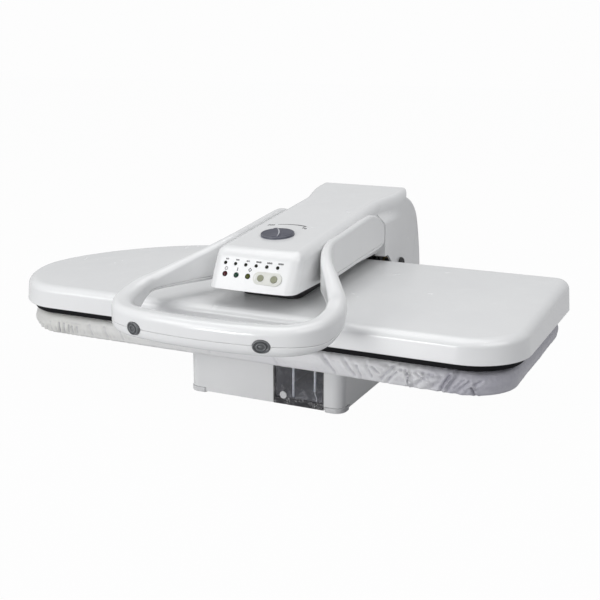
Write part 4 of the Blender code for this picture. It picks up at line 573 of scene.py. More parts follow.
# outline of the shoe and the board
def shoeOutline(inset):
    points = []
    steps = press["noseSteps"]
    for corner, reach, turn in ((press["frontCorner"], -press["shoeFront"] + inset, -math.pi / 2),
                                (press["backCorner"], press["shoeRear"] - inset, 0)):
        radius = max(corner - inset, 0.002)
        middleY = reach + (radius if turn else -radius)
        points += arcPoints(press["shoeRight"] - inset - radius, middleY, radius, turn, turn + math.pi / 2,
                            press["cornerSteps"])
    backStart = (-press["noseBackStart"], press["shoeRear"])
    tip = (-press["shoeLeft"], -press["noseTipForward"])
    frontStart = (-press["noseFrontStart"], -press["shoeFront"])
    nose = [backStart]
    nose += bezierPoints(backStart, (backStart[0] - press["noseBackPull"], backStart[1]),
                         (tip[0], tip[1] + press["noseTipBackPull"]), tip, steps)
    nose += bezierPoints(tip, (tip[0], tip[1] - press["noseTipFrontPull"]),
                         (frontStart[0] - press["noseFrontPull"], frontStart[1]), frontStart, steps)
    ahead = [(backStart[0] + 1, backStart[1])] + nose
    after = nose[1:] + [(frontStart[0] + 1, frontStart[1])]
    for before, here, beyond in zip(ahead, nose, after):
        first = Vector((here[0] - before[0], here[1] - before[1])).normalized()
        second = Vector((beyond[0] - here[0], beyond[1] - here[1])).normalized()
        along = (first + second).normalized()
        reach = inset / along.dot(first)
        points.append((here[0] - along.y * reach, here[1] + along.x * reach))
    return points


def outlineRings(rows):
    # one ring of the outline per row of inset and height
    return [[(x, y, z) for x, y in shoeOutline(inset)] for inset, z in rows]


def shrunk(ring, share, z):
    # the ring drawn towards the middle line of the board, for the flat top
    middleY = (press["shoeRear"] - press["shoeFront"]) / 2
    made = []
    for x, y in ring:
        middleX = max(min(x, press["shoeRight"] - 0.12), -press["shoeLeft"] + 0.16)
        made.append((middleX + (x - middleX) * share, middleY + (y - middleY) * share, z))
    return made


# shoe: the white upper shell and its dark plate
shoeShell = {
    "rim": 0.101,
    "top": 0.141,
    "frontTop": 0.1282,
    "draft": 0.002,
    "edge": 0.013,
    "edgeSteps": 12,
    "lip": 0.0006,
    "crown": 0.0007,
}


def shoeHeight(y, z):
    # the rim is level and the top falls to the front: z is the height at the rear edge
    look = shoeShell
    share = (y + press["shoeFront"]) / (press["shoeRear"] + press["shoeFront"])
    top = look["frontTop"] + share * (look["top"] - look["frontTop"])
    return look["rim"] + (z - look["rim"]) * (top - look["rim"]) / (look["top"] - look["rim"])


def makeShoe(look):
    wallTop = look["top"] - look["edge"]
    profile = [(press["wall"], look["rim"]), (look["lip"], look["rim"]),
               (look["lip"] * 0.3, look["rim"] + look["lip"] * 0.3), (0.0, look["rim"] + look["lip"]),
               (0.0002, look["rim"] + 3 * look["lip"])]
    for k in range(look["edgeSteps"] + 1):
        turn = math.pi / 2 * k / look["edgeSteps"]
        profile.append((look["draft"] + look["edge"] * (1 - math.cos(turn)),
                        wallTop + look["edge"] * math.sin(turn)))
    rings = outlineRings(profile)
    last = shoeOutline(look["draft"] + look["edge"])
    for share in (0.985, 0.93, 0.80, 0.60, 0.35, 0.12):
        rings.append(shrunk(last, share, look["top"] + look["crown"] * (1 - share ** 2)))
    inner = [(press["wall"] + 0.0002, look["rim"] + 0.0004)]
    for k in range(look["edgeSteps"] // 2 + 1):
        turn = math.pi / 2 * k / (look["edgeSteps"] // 2)
        inner.append((look["draft"] + press["wall"] + (look["edge"] - press["wall"]) * (1 - math.cos(turn)),
                      wallTop + (look["edge"] - press["wall"]) * math.sin(turn)))
    inside = outlineRings(inner)
    leaning = [[(x, y, shoeHeight(y, z)) for x, y, z in ring] for ring in inside[::-1] + rings]
    mesh = ringLoft("shoeShell", leaning)
    shell = settle(addPiece("shoeShell", mesh, materials["shellWhite"], 50))
    finishPiece(shell, "shoe_cover", "arm")


heatPlate = {"inset": 0.0092, "low": 0.0920, "thick": 0.006, "round": 0.0006}


def makePlate(look):
    low, high, edge = look["low"], look["low"] + look["thick"], look["round"]
    profile = [(look["inset"] + edge * 1.6, low)]
    for k in range(5):
        turn = math.pi / 2 * k / 4
        profile.append((look["inset"] + edge * (1 - math.sin(turn)), low + edge * (1 - math.cos(turn))))
    profile += [(look["inset"], high - edge / 2), (look["inset"] + edge / 2, high)]
    mesh = ringLoft("pressingPlate", outlineRings(profile))
    plate = settle(addPiece("pressingPlate", mesh, materials["plateCoat"], 50))
    finishPiece(plate, "heat_plate", "arm")


makeShoe(shoeShell)
makePlate(heatPlate)
print("shoe made")


# board cover: fabric drawn over foam, with the folds of its side modelled one by one
boardPad = {
    "inset": 0.012,
    "skin": 0.0012,
    "tuck": 0.020,
    "low": 0.065,
    "top": 0.0916,
    "lowerRound": 0.004,
    "innerClear": 0.0016,
    "ripple": 0.0004,
    "crownHigh": 0.011,
    "crownWide": 0.019,
    "bulge": 0.0012,
    "sideSteps": 20,
    "spacing": 0.0017,
    "sag": 0.0016,
    "sagRight": 0.0016,
    "puff": 0.0009,
    "crumple": 0.0009,
    "foldShare": 1.9,
    "ridgeInside": 0.34,
    "ridgeOutside": 0.62,
    "noseOut": 0.0045,
    "gather": 0.0010,
    "gatherPitch": 0.0065,
}

# folds on the front side: start x and z, end x and z, depth (below zero for a ridge), width
padFolds = [
    (0.198, 0.083, 0.201, 0.078, 0.0015, 0.0012), (0.201, 0.078, 0.202, 0.070, 0.0019, 0.0012),
    (0.202, 0.070, 0.201, 0.063, 0.0017, 0.0012), (0.250, 0.083, 0.238, 0.064, 0.0018, 0.0016),
    (0.256, 0.086, 0.245, 0.071, -0.0011, 0.0020), (0.230, 0.081, 0.212, 0.083, 0.0008, 0.0018),
    (0.254, 0.064, 0.271, 0.078, 0.0011, 0.0018), (0.262, 0.063, 0.276, 0.073, -0.0009, 0.0018),
    (0.274, 0.072, 0.279, 0.064, 0.0015, 0.0012), (0.122, 0.086, 0.137, 0.068, 0.0009, 0.0022),
    (0.097, 0.085, 0.113, 0.067, 0.0009, 0.0022), (0.170, 0.085, 0.195, 0.082, 0.0007, 0.0018),
    (0.187, 0.088, 0.170, 0.069, 0.0009, 0.0020), (0.207, 0.066, 0.226, 0.079, 0.0008, 0.0020),
    (0.216, 0.065, 0.236, 0.077, -0.0007, 0.0022), (0.150, 0.086, 0.158, 0.070, 0.0006, 0.0022),
    (-0.295, 0.078, -0.294, 0.063, 0.0009, 0.0016), (-0.280, 0.078, -0.280, 0.063, 0.0009, 0.0015),
    (-0.272, 0.078, -0.272, 0.063, 0.0008, 0.0014), (-0.264, 0.077, -0.265, 0.063, 0.0009, 0.0014),
    (-0.2585, 0.076, -0.258, 0.063, 0.0008, 0.0013), (-0.251, 0.076, -0.250, 0.063, 0.0008, 0.0015),
    (-0.232, 0.081, -0.226, 0.063, 0.0007, 0.0028), (-0.209, 0.081, -0.202, 0.063, 0.0007, 0.0028),
    (-0.186, 0.082, -0.178, 0.063, 0.0006, 0.0028), (0.030, 0.080, 0.040, 0.064, 0.0005, 0.0030),
    (-0.060, 0.080, -0.052, 0.064, 0.0004, 0.0030), (0.256, 0.070, 0.266, 0.080, 0.0008, 0.0014),
    (0.266, 0.066, 0.283, 0.079, 0.0008, 0.0016), (0.176, 0.066, 0.188, 0.078, 0.0007, 0.0016),
    (0.218, 0.078, 0.228, 0.070, -0.0006, 0.0014), (0.157, 0.081, 0.168, 0.074, 0.0006, 0.0014),
    (0.208, 0.082, 0.222, 0.074, 0.0007, 0.0013), (0.140, 0.079, 0.146, 0.066, 0.0006, 0.0016),
]


def smoothStep(value, low, high):
    share = min(max((value - low) / (high - low), 0.0), 1.0)
    return share * share * (3 - 2 * share)


def padProfile(look):
    # (inset, height, share of the folds) from the hem under the board round the side to the top
    bulge, lower = look["bulge"], look["lowerRound"]
    low, top, edge = look["low"], look["top"], look["inset"]
    profile = [(edge + look["tuck"], low, 0.2), (edge + look["tuck"] * 0.8, low, 0.3),
               (edge + look["tuck"] * 0.6, low, 0.4), (edge + look["tuck"] * 0.42, low, 0.5)]
    for k in range(7):
        turn = math.pi / 2 * k / 6
        profile.append((edge + bulge + lower * (1 - math.sin(turn)), low + lower * (1 - math.cos(turn)),
                        0.6 + 0.4 * k / 6))
    for k in range(1, look["sideSteps"]):
        share = k / look["sideSteps"]
        z = low + lower + (top - look["crownHigh"] - low - lower) * share
        profile.append((edge + bulge - bulge * math.sin(math.pi * share), z, 1.0))
    for k in range(13):
        turn = math.pi / 2 * k / 12
        profile.append((edge + bulge + look["crownWide"] * (1 - math.cos(turn)),
                        top - look["crownHigh"] * (1 - math.sin(turn)), 1.0 - 0.9 * k / 12))
    return profile


def foldDepth(x, z):
    # how far the side is pushed in at a spot of the front side
    total = 0.0
    for x1, z1, x2, z2, depth, width in padFolds:
        if abs(x - (x1 + x2) / 2) > abs(x2 - x1) / 2 + 5 * width:
            continue
        runX, runZ = x2 - x1, z2 - z1
        share = min(max(((x - x1) * runX + (z - z1) * runZ) / (runX ** 2 + runZ ** 2), 0.0), 1.0)
        offX, offZ = x - x1 - share * runX, z - z1 - share * runZ
        away = math.hypot(offX, offZ) / width
        ridge = boardPad["ridgeOutside"] if offX > 0 else boardPad["ridgeInside"]
        pushed = math.exp(-away ** 2) - ridge * math.exp(-(away - 1.9) ** 2)
        total += boardPad["foldShare"] * depth * pushed
    return total


def padMove(look, x, y, z):
    # outward move of the side at a spot: soft puffs, fine crumple, gathers at the nose and single folds
    puff = look["puff"] * noise.noise(Vector((x * 26, y * 26, z * 40)))
    worn = 0.35 + 0.65 * smoothStep(x, 0.06, 0.16) * (1 - smoothStep(x, 0.27, 0.31))
    crumple = look["crumple"] * worn * noise.noise(Vector((x * 150 + z * 90, y * 150, z * 110)))
    crumple += look["crumple"] * 0.4 * worn * noise.noise(Vector((x * 420, y * 420, z * 260)))
    nose = smoothStep(-x, 0.20, 0.30)
    pleat = look["gather"] * nose * math.sin(2 * math.pi * (x + 0.8 * y) / look["gatherPitch"]
                                             + 2.5 * noise.noise(Vector((x * 60, y * 60, 0))))
    low = 1 - smoothStep(z, 0.066, 0.082)
    move = puff + crumple + pleat * low
    if y < -0.10:
        move -= foldDepth(x, z)
    return move + look["noseOut"] * smoothStep(-x, 0.29, 0.36)


def padRing(look, inset, z, share, counts):
    ring = shoeOutline(inset)
    spots = []
    for k, (start, steps) in enumerate(zip(ring, counts)):
        end = ring[(k + 1) % len(ring)]
        spots += [(start[0] + (end[0] - start[0]) * n / steps, start[1] + (end[1] - start[1]) * n / steps)
                  for n in range(steps)]
    points = []
    total = len(spots)
    for k, (x, y) in enumerate(spots):
        before, after = spots[k - 1], spots[(k + 1) % total]
        along = Vector((after[0] - before[0], after[1] - before[1])).normalized()
        move = padMove(look, x, y, z) * share if share else 0.0
        under = 1 - smoothStep(z, look["low"], look["low"] + look["lowerRound"] * 1.6)
        hang = smoothStep(look["inset"] + look["tuck"] - inset, 0.0, look["tuck"] * 0.8)
        sag = under * hang * (look["sag"] + look["sagRight"] * smoothStep(x, 0.05, 0.25)) if share else 0.0
        if share and inset > look["inset"] + look["tuck"] * 0.3:
            sag += look["gather"] * math.sin(2 * math.pi * (x - y) / look["gatherPitch"] * 0.7) * share
        points.append((x + along.y * move, y - along.x * move, z - sag))
    return points


def makePad(look):
    base = shoeOutline(look["inset"])
    counts = []
    for k, start in enumerate(base):
        end = base[(k + 1) % len(base)]
        counts.append(max(1, round(math.dist(start, end) / look["spacing"])))
    outer = [padRing(look, inset, z, share, counts) for inset, z, share in padProfile(look)]
    edge, skin, crown = look["inset"] + look["bulge"], look["skin"], look["crownWide"]
    side = edge + skin + look["innerClear"]
    last = [(x, y) for x, y, z in padRing(look, edge + crown, look["top"], 0.0, counts)]
    for share in (0.97, 0.90, 0.78, 0.62, 0.42, 0.20, 0.06):
        outer.append([(x, y, z - look["ripple"] * abs(noise.noise(Vector((x * 18, y * 18, 0)))))
                      for x, y, z in shrunk(last, share, look["top"])])
    inner = [padRing(look, inset, z, 0.0, counts) for inset, z in (
        (look["inset"] + look["tuck"], look["low"] + skin), (edge + look["lowerRound"], look["low"] + skin),
        (side, look["low"] + look["lowerRound"]), (side, look["top"] - look["crownHigh"]),
        (edge + crown, look["top"] - 2 * skin))]
    mesh = ringLoft("boardPad", inner[::-1] + outer)
    pad = settle(addPiece("boardPad", mesh, materials["coverFabric"], 80), weighted=False)
    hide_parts("board_cover", "board_foam")
    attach(pad, "base")


makePad(boardPad)
print("board pad made")

# arm: two moulded covers over the frame
armShell = {
    "half": 0.0575,
    "rearHalf": 0.070,
    "bottom": 0.150,
    "headFoot": 0.128,
    "headTop": 0.104,
    "topMid": 0.2055,
    "slope": 0.098,
    "wideStart": 0.1380,
    "topEnd": 0.2330,
    "notch": (0.2310, 0.2160),
    "splitTop": (0.270, 0.186),
    "splitFoot": 0.2525,
    "rearFoot": (0.206, 0.099),
    "shoulder": (0.150, 0.146),
    "edge": 0.011,
    "wideEdge": 0.016,
    "heelEdge": 0.006,
    "bow": 0.003,
    "startPull": (0.0135, -0.0045),
    "endPull": (-0.0065, 0.0130),
    "back": (0.292, 0.107),
    "backStartPull": (0.009, -0.018),
    "backEndPull": (-0.0025, 0.026),
    "segments": 9,
    "curveSteps": 18,
    "taperLow": 0.190,
    "taperLong": 0.075,
    "capRadius": 0.0085,
    "capHeight": 0.0045,
    "softRim": 0.0006,
    "crease": 24,
}
faceLean = math.atan2(armShell["headFoot"] - armShell["headTop"],
                      armShell["topMid"] - armShell["slope"] * armShell["headTop"] - armShell["bottom"])


def armTop(y):
    return armShell["topMid"] + armShell["slope"] * y


def cutAll(bm, place, turn):
    # new edges where a plane meets the mesh, nothing taken away
    geometry = bm.verts[:] + bm.edges[:] + bm.faces[:]
    bmesh.ops.bisect_plane(bm, geom=geometry, plane_co=place, plane_no=turn)


def sideSolid(name, profile, half, bow=0.0):
    # a profile in Y and Z, as wide as 2 half; bow curves the head's face forward in the middle
    bm = bmesh.new()
    left = [bm.verts.new((-half, y, z)) for y, z in profile]
    right = [bm.verts.new((half, y, z)) for y, z in profile]
    bm.faces.new(left)
    bm.faces.new(right[::-1])
    bridge(bm, left, right)
    if bow:
        flat = half - 1.2 * armShell["edge"]
        for step in range(9):
            cutAll(bm, (flat * (step / 4 - 1), 0, 0), (1, 0, 0))
        for vert in bm.verts:
            if vert.co.y < -armShell["headTop"] + 0.004:
                vert.co.y -= bow * (1 - (vert.co.x / half) ** 2)
    return meshFrom(name, bm)


def roundEdges(obj, width, segments, share, angle=30):
    bm = bmesh.new()
    bm.from_mesh(obj.data)
    weights = []
    for edge in bm.edges:
        start, end = (vert.co for vert in edge.verts)
        sharp = len(edge.link_faces) == 2 and edge.calc_face_angle() > math.radians(angle)
        weights.append(float(share((start + end) / 2, (end - start).normalized())) if sharp else 0.0)
    bm.free()
    layer = obj.data.attributes.new("bevel_weight_edge", "FLOAT", "EDGE")
    layer.data.foreach_set("value", weights)
    mod = obj.modifiers.new("rounded", "BEVEL")
    mod.width = width
    mod.segments = segments
    mod.limit_method = "WEIGHT"
    mod.use_clamp_overlap = False


def joinBy(obj, other, operation):
    # exact Boolean, applied at once; the other object is used up
    mod = obj.modifiers.new("join", "BOOLEAN")
    mod.operation = operation
    mod.solver = "EXACT"
    mod.object = other
    mesh = bakedMesh(obj)
    obj.modifiers.clear()
    old = obj.data
    obj.data = mesh
    bpy.data.meshes.remove(old)
    bpy.data.objects.remove(other, do_unlink=True)
    return obj


def armProfile(inset, over):
    leanIn = inset / math.cos(faceLean)
    end = armShell["wideStart"] + 2 * armShell["wideEdge"]
    foot = -armShell["headFoot"] + leanIn - over * math.tan(faceLean)
    return [(foot, armShell["bottom"] - over), (end, armShell["bottom"] - over), (end, armTop(end) - inset),
            (-armShell["headTop"] + leanIn, armTop(-armShell["headTop"]) - inset)]


def drawnCurve(start, startPull, endPull, end, inset, steps):
    first = Vector((startPull[1], -startPull[0])).normalized() * inset
    last = Vector((-endPull[1], endPull[0])).normalized() * inset
    begin = (start[0] + first.x, start[1] + first.y)
    finish = (end[0] + last.x, end[1] + last.y)
    near = (begin[0] + startPull[0], begin[1] + startPull[1])
    far = (finish[0] + endPull[0], finish[1] + endPull[1])
    return [begin] + bezierPoints(begin, near, far, finish, steps)


def wideProfile(inset, over):
    look = armShell
    curve = drawnCurve(look["notch"], look["startPull"], look["endPull"], look["splitTop"], inset,
                       look["curveSteps"])
    wayOut = [(curve[-1][0] + over, curve[-1][1])] if over else []
    footY, footZ = look["rearFoot"]
    shoulderY, shoulderZ = look["shoulder"]
    return [(look["wideStart"] + inset, shoulderZ - over), (shoulderY, shoulderZ - over),
            (footY, footZ - over), (look["splitFoot"] + over, footZ - over)] \
        + wayOut + curve[::-1] + [(look["topEnd"] - inset, armTop(look["topEnd"]) - inset),
                                  (look["wideStart"] + inset, armTop(look["wideStart"]) - inset)]


def rearProfile(inset, over):
    look = armShell
    gap = press["gap"]
    curve = drawnCurve((look["splitTop"][0] + gap, look["splitTop"][1]), look["backStartPull"],
                       look["backEndPull"], look["back"], inset, look["curveSteps"])
    wayOut = [(curve[0][0] - over, curve[0][1])] if over else []
    return [(look["splitFoot"] + gap - over, look["rearFoot"][1] - over),
            (curve[-1][0], look["rearFoot"][1] - over)] + curve[::-1] + wayOut


def splitY(z):
    low = armShell["rearFoot"][1]
    share = (z - low) / (armShell["splitTop"][1] - low)
    return armShell["splitFoot"] + share * (armShell["splitTop"][0] - armShell["splitFoot"])


def taperWide(obj, inset):
    # the top of the wide rear part grows slowly out of the narrow front part
    look = armShell
    bm = bmesh.new()
    bm.from_mesh(obj.data)
    cuts = [((0, look["wideStart"] + 0.006 * k, 0), (0, 1, 0)) for k in range(1, 16)]
    cuts += [((0, 0, look["taperLow"] + 0.003 * k), (0, 0, 1)) for k in range(6)]
    for place, turn in cuts:
        cutAll(bm, place, turn)
    step = look["rearHalf"] - look["half"]
    for vert in bm.verts:
        x, y, z = vert.co
        if abs(x) > look["half"] - inset - look["wideEdge"]:
            back = smoothStep(y, look["wideStart"], look["wideStart"] + look["taperLong"])
            rise = smoothStep(z, look["taperLow"], look["taperLow"] + 0.015)
            vert.co.x -= math.copysign(step * (1 - back) * rise, x)
    bm.to_mesh(obj.data)
    bm.free()


def makeArm(look):
    wall = press["wall"]
    over = press["cutterOver"]

    def aboveRim(middle, direction):
        return middle.z > look["bottom"] + 0.0004

    def wideShare(heel):
        def share(middle, direction):
            if abs(direction.y) < abs(direction.x) or middle.z < look["splitTop"][1]:
                return 0
            return 1 if middle.z > look["notch"][1] else heel
        return share

    def behindSplit(middle, direction):
        return middle.y > splitY(middle.z) + 0.0006 and abs(direction.x) < abs(direction.z)

    def solid(name, profile, half, radius, share, bow=0.0):
        # the rounding is baked before the Booleans, so that they see plain faces
        obj = addPiece(name, sideSolid(name, profile, half, bow), None)
        roundEdges(obj, radius, look["segments"], share)
        mesh = bakedMesh(obj)
        obj.modifiers.clear()
        obj.data = mesh
        return obj

    def closed(obj, node):
        softenRims(obj, look["softRim"])
        obj.data.materials.append(materials["shellWhite"])
        smoothUpTo(obj.data, look["crease"])
        finishPiece(settle(obj), node, "arm")

    cover = solid("armShell", armProfile(0, 0), look["half"], look["edge"], aboveRim, look["bow"])
    wide = solid("armWide", wideProfile(0, 0), look["rearHalf"], look["wideEdge"],
                 wideShare(look["heelEdge"] / look["wideEdge"]))
    taperWide(wide, 0.0)
    joinBy(cover, wide, "UNION")
    room = solid("armRoom", armProfile(wall, over), look["half"] - wall, look["edge"] - wall,
                 aboveRim, look["bow"])
    joinBy(cover, room, "DIFFERENCE")
    inner = look["wideEdge"] - wall
    hollow = solid("armHollow", wideProfile(wall, over), look["rearHalf"] - wall, inner,
                   wideShare((look["heelEdge"] - wall) / inner))
    taperWide(hollow, wall)
    joinBy(cover, hollow, "DIFFERENCE")
    closed(cover, "arm_cover")
    rear = solid("armRearShell", rearProfile(0, 0), look["rearHalf"], look["heelEdge"], behindSplit)
    hollow = solid("rearHollow", rearProfile(wall, over), look["rearHalf"] - wall,
                   look["heelEdge"] - wall, behindSplit)
    joinBy(rear, hollow, "DIFFERENCE")
    closed(rear, "arm_rear_cover")


def softenRims(obj, width, angle=38):
    # a fine moulded radius on every crisp edge
    mod = obj.modifiers.new("fine edges", "BEVEL")
    mod.width = width
    mod.segments = 2
    mod.limit_method = "ANGLE"
    mod.angle_limit = math.radians(angle)
    mod.harden_normals = False
    mod.use_clamp_overlap = True


makeArm(armShell)
print("arm covers made")


# handle: two shells lofted along one path
handleLoop = {
    "halfWidth": 0.129,
    "reach": 0.247,
    "plateX": 0.0655,
    "rear": 0.1335,
    "plateThick": 0.010,
    "gripThick": 0.025,
    "low": 0.1145,
    "rise": 0.0985,
    "wall": 0.0022,
    "pathSteps": 10,
    "sectionSteps": 9,
    "halfShare": 0.75,
    "highShare": 0.8,
    "seamChamfer": 0.0005,
}

# stations from the rear end of a side plate to the middle of the front, as shares of the sizes:
# plate place, half width; rear end, reach; top rise, underside rise; grip thickness, seam height
handleStations = [
    (1.000, 0.000, 1.000, 0.000, 0.720, 0.548, 0.00, 0.22),
    (1.000, 0.000, 0.963, 0.000, 0.815, 0.489, 0.00, 0.16),
    (1.000, 0.000, 0.861, 0.000, 0.912, 0.462, 0.00, 0.13),
    (1.000, 0.000, 0.734, 0.000, 0.966, 0.452, 0.00, 0.12),
    (1.000, 0.000, 0.562, 0.000, 0.976, 0.440, 0.00, 0.12),
    (1.000, 0.000, 0.000, 0.000, 0.904, 0.396, 0.00, 0.12),
    (1.000, 0.004, 0.000, 0.182, 0.858, 0.360, 0.05, 0.13),
    (0.803, 0.197, 0.000, 0.324, 0.766, 0.335, 0.25, 0.13),
    (0.457, 0.543, 0.000, 0.458, 0.635, 0.325, 0.50, 0.14),
    (0.158, 0.842, 0.000, 0.579, 0.523, 0.315, 0.75, 0.15),
    (0.047, 0.953, 0.000, 0.648, 0.482, 0.287, 0.85, 0.15),
    (0.000, 1.000, 0.000, 0.729, 0.426, 0.165, 0.95, 0.17),
    (0.000, 0.961, 0.000, 0.842, 0.371, 0.046, 1.00, 0.25),
    (0.000, 0.798, 0.000, 0.939, 0.340, 0.005, 1.00, 0.37),
    (0.000, 0.465, 0.000, 0.984, 0.335, 0.000, 1.00, 0.39),
    (0.000, 0.000, 0.000, 1.000, 0.335, 0.000, 1.00, 0.39),
]


def smoothThrough(rows, steps):
    out = []
    for k in range(len(rows) - 1):
        before = rows[max(k - 1, 0)]
        after = rows[min(k + 2, len(rows) - 1)]
        for n in range(steps):
            t = n / steps
            out.append(tuple(0.5 * (2 * q + (r - p) * t + (2 * p - 5 * q + 4 * r - s) * t * t
                                    + (3 * q - p - 3 * r + s) * t ** 3)
                             for p, q, r, s in zip(before, rows[k], rows[k + 1], after)))
    out.append(rows[-1])
    return out


def handlePath(look):
    right = []
    for row in handleStations:
        right.append((row[0] * look["plateX"] + row[1] * look["halfWidth"],
                      row[2] * look["rear"] - row[3] * look["reach"],
                      look["low"] + row[4] * look["rise"], look["low"] + row[5] * look["rise"],
                      look["plateThick"] + row[6] * (look["gripThick"] - look["plateThick"]), row[7]))
    mirrored = [(-row[0],) + row[1:] for row in reversed(right[:-1])]
    return smoothThrough(right + mirrored, look["pathSteps"])


def handleSection(look, thick, top, low, seam, wall, upper):
    half = thick / 2 - wall
    seamZ = low + (top - low) * seam
    reach = (top - wall - seamZ) if upper else (seamZ - low - wall)
    corner = min(half * look["halfShare"], reach * look["highShare"])
    sign = 1 if upper else -1
    edge = top - wall if upper else low + wall
    centreZ = edge - sign * corner
    start = seamZ + sign * press["gap"] / 2
    chamfer = look["seamChamfer"] if wall == 0 else 0
    points = [(half - chamfer, start)]
    if chamfer:
        points.append((half, start + sign * chamfer))
    steps = look["sectionSteps"]
    turns = [math.pi / 2 * k / steps for k in range(steps + 1)]
    points += [(half - corner + corner * math.cos(t), centreZ + sign * corner * math.sin(t)) for t in turns]
    points += [(-half + corner - corner * math.sin(t), centreZ + sign * corner * math.cos(t)) for t in turns]
    if chamfer:
        points.append((-half, start + sign * chamfer))
    points.append((-half + chamfer, start))
    return points


def makeHandleShell(look, name, node, upper):
    path = handlePath(look)
    rings = []
    for k, (x, y, top, low, thick, seam) in enumerate(path):
        before = path[max(k - 1, 0)]
        after = path[min(k + 1, len(path) - 1)]
        along = Vector((after[0] - before[0], after[1] - before[1])).normalized()
        outward = Vector((-along.y, along.x))
        section = handleSection(look, thick, top, low, seam, 0, upper) \
            + handleSection(look, thick, top, low, seam, look["wall"], upper)[::-1]
        rings.append([(x + outward.x * u, y + outward.y * u, z) for u, z in section])
    shell = addPiece(name, ringLoft(name, rings), materials["shellWhite"], 50)
    for side in (-1, 1):
        joinBy(shell, steamCutter(side), "DIFFERENCE")
    smoothUpTo(shell.data, 40)
    finishPiece(settle(shell, weighted=False), node, "handle")


steamKey = {
    "x": 0.080,
    "halfLong": 0.0099,
    "halfHigh": 0.0074,
    "depth": 0.009,
    "clear": 0.0004,
    "turn": 20,
}


def steamPlace(side):
    x = side * steamKey["x"]
    path = handlePath(handleLoop)
    nearest = min(path, key=lambda row: abs(row[0] - x) + abs(row[1] + handleLoop["reach"]))
    seamZ = nearest[3] + (nearest[2] - nearest[3]) * nearest[5]
    faceY = nearest[1] - handleLoop["gripThick"] / 2
    turn = Matrix.Rotation(side * math.radians(steamKey["turn"]), 4, "Z") \
        @ Matrix.Rotation(math.pi / 2, 4, "X")
    return Matrix.Translation((x, faceY, seamZ)) @ turn


def steamCutter(side):
    long, high = steamKey["halfLong"] + steamKey["clear"], steamKey["halfHigh"] + steamKey["clear"]
    rings = [[(long * x, high * y, z) for x, y, z in circlePoints(1, z, 40)]
             for z in (-steamKey["depth"] - 0.002, 0.006)]
    mesh = ringLoft("steamHole", rings)
    mesh.transform(steamPlace(side))
    return addPiece("steamHole", mesh, None)


def makeSteamKeys(look):
    # a domed oval key with a raised ring, inside a thin rolled rim
    profile = [(0, 0.0016), (0.16, 0.0015), (0.24, 0.0011), (0.34, 0.0010), (0.39, 0.0018), (0.44, 0.0024),
               (0.50, 0.0025), (0.56, 0.0022), (0.60, 0.0014), (0.64, 0.0006), (0.76, 0.0006), (0.81, 0.0013),
               (0.86, 0.0020), (0.91, 0.0020), (0.96, 0.0013), (0.99, 0.0004), (1.0, -0.0012),
               (1.0, -look["depth"]), (0, -look["depth"])]
    for side, hand in ((-1, "left"), (1, "right")):
        squeeze = Matrix.Diagonal((look["halfLong"], look["halfHigh"], 1, 1))
        mesh = lathe("steamKey", profile, steamPlace(side) @ squeeze, 64)
        plainPiece("steamKey" + hand.title(), mesh, "buttonGrey", 60, "steam_button_" + hand,
                   "steam_key_" + hand)


makeHandleShell(handleLoop, "handleUpper", "handle_upper_shell", True)
makeHandleShell(handleLoop, "handleLower", "handle_lower_shell", False)
makeSteamKeys(steamKey)
print("handle made")

# base box: one moulded shell with boots on its corners
baseBox = {
    "half": 0.106,
    "rear": 0.235,
    "corner": 0.013,
    "skirt": 0.002,
    "topRound": 0.0014,
    "footRound": 0.0005,
    "cornerSteps": 14,
    "footSize": 0.0235,
    "footHigh": 0.0065,
    "footProud": 0.0010,
    "footInner": 0.004,
    "window": (0.014, 0.082),
    "windowDeep": 0.0065,
    "column": (0.0433, 0.1605, 0.2128),
    "gland": (0.070, 0.030, 0.0053),
    "relief": 0.003,
}


def blockPiece(name, low, high):
    bm = bmesh.new()
    bmesh.ops.create_cube(bm, size=1)
    for vert in bm.verts:
        vert.co = Vector([high[k] if vert.co[k] > 0 else low[k] for k in range(3)])
    return addPiece(name, meshFrom(name, bm), None)


def footOutline(look, sideX, sideY, inset):
    # a boot on one corner of the base: the base's own rounding outside, small ones inside
    reach = look["footSize"] + look["footProud"]
    outer = look["corner"] + look["footProud"]
    inner = look["footInner"]
    points = arcPoints(reach - outer, reach - outer, outer - inset, 0, math.pi / 2, look["cornerSteps"])
    for u, v, turn in ((inner, reach - inner, math.pi / 2), (inner, inner, math.pi),
                       (reach - inner, inner, 3 * math.pi / 2)):
        points += arcPoints(u, v, inner - inset, turn, turn + math.pi / 2, 6)
    startX = look["half"] + look["footProud"] - reach
    startY = (press["baseFront"] if sideY < 0 else look["rear"]) + look["footProud"] - reach
    placed = [(sideX * (startX + u), sideY * (startY + v)) for u, v in points]
    return placed if sideX == sideY else placed[::-1]


def reliefMesh(look, rear, top):
    # prism that slopes the rear edge, where the rear cover's foot swings down when the arm is open
    deep, over, half = look["relief"], press["cutterOver"], armShell["rearHalf"] + look["relief"]
    outline = [(rear - deep - over, top + over), (rear + over, top - deep - over), (rear + over, top + over)]
    return ringLoft("reliefRoom", [[(x, y, z) for y, z in outline] for x in (-half, half)])


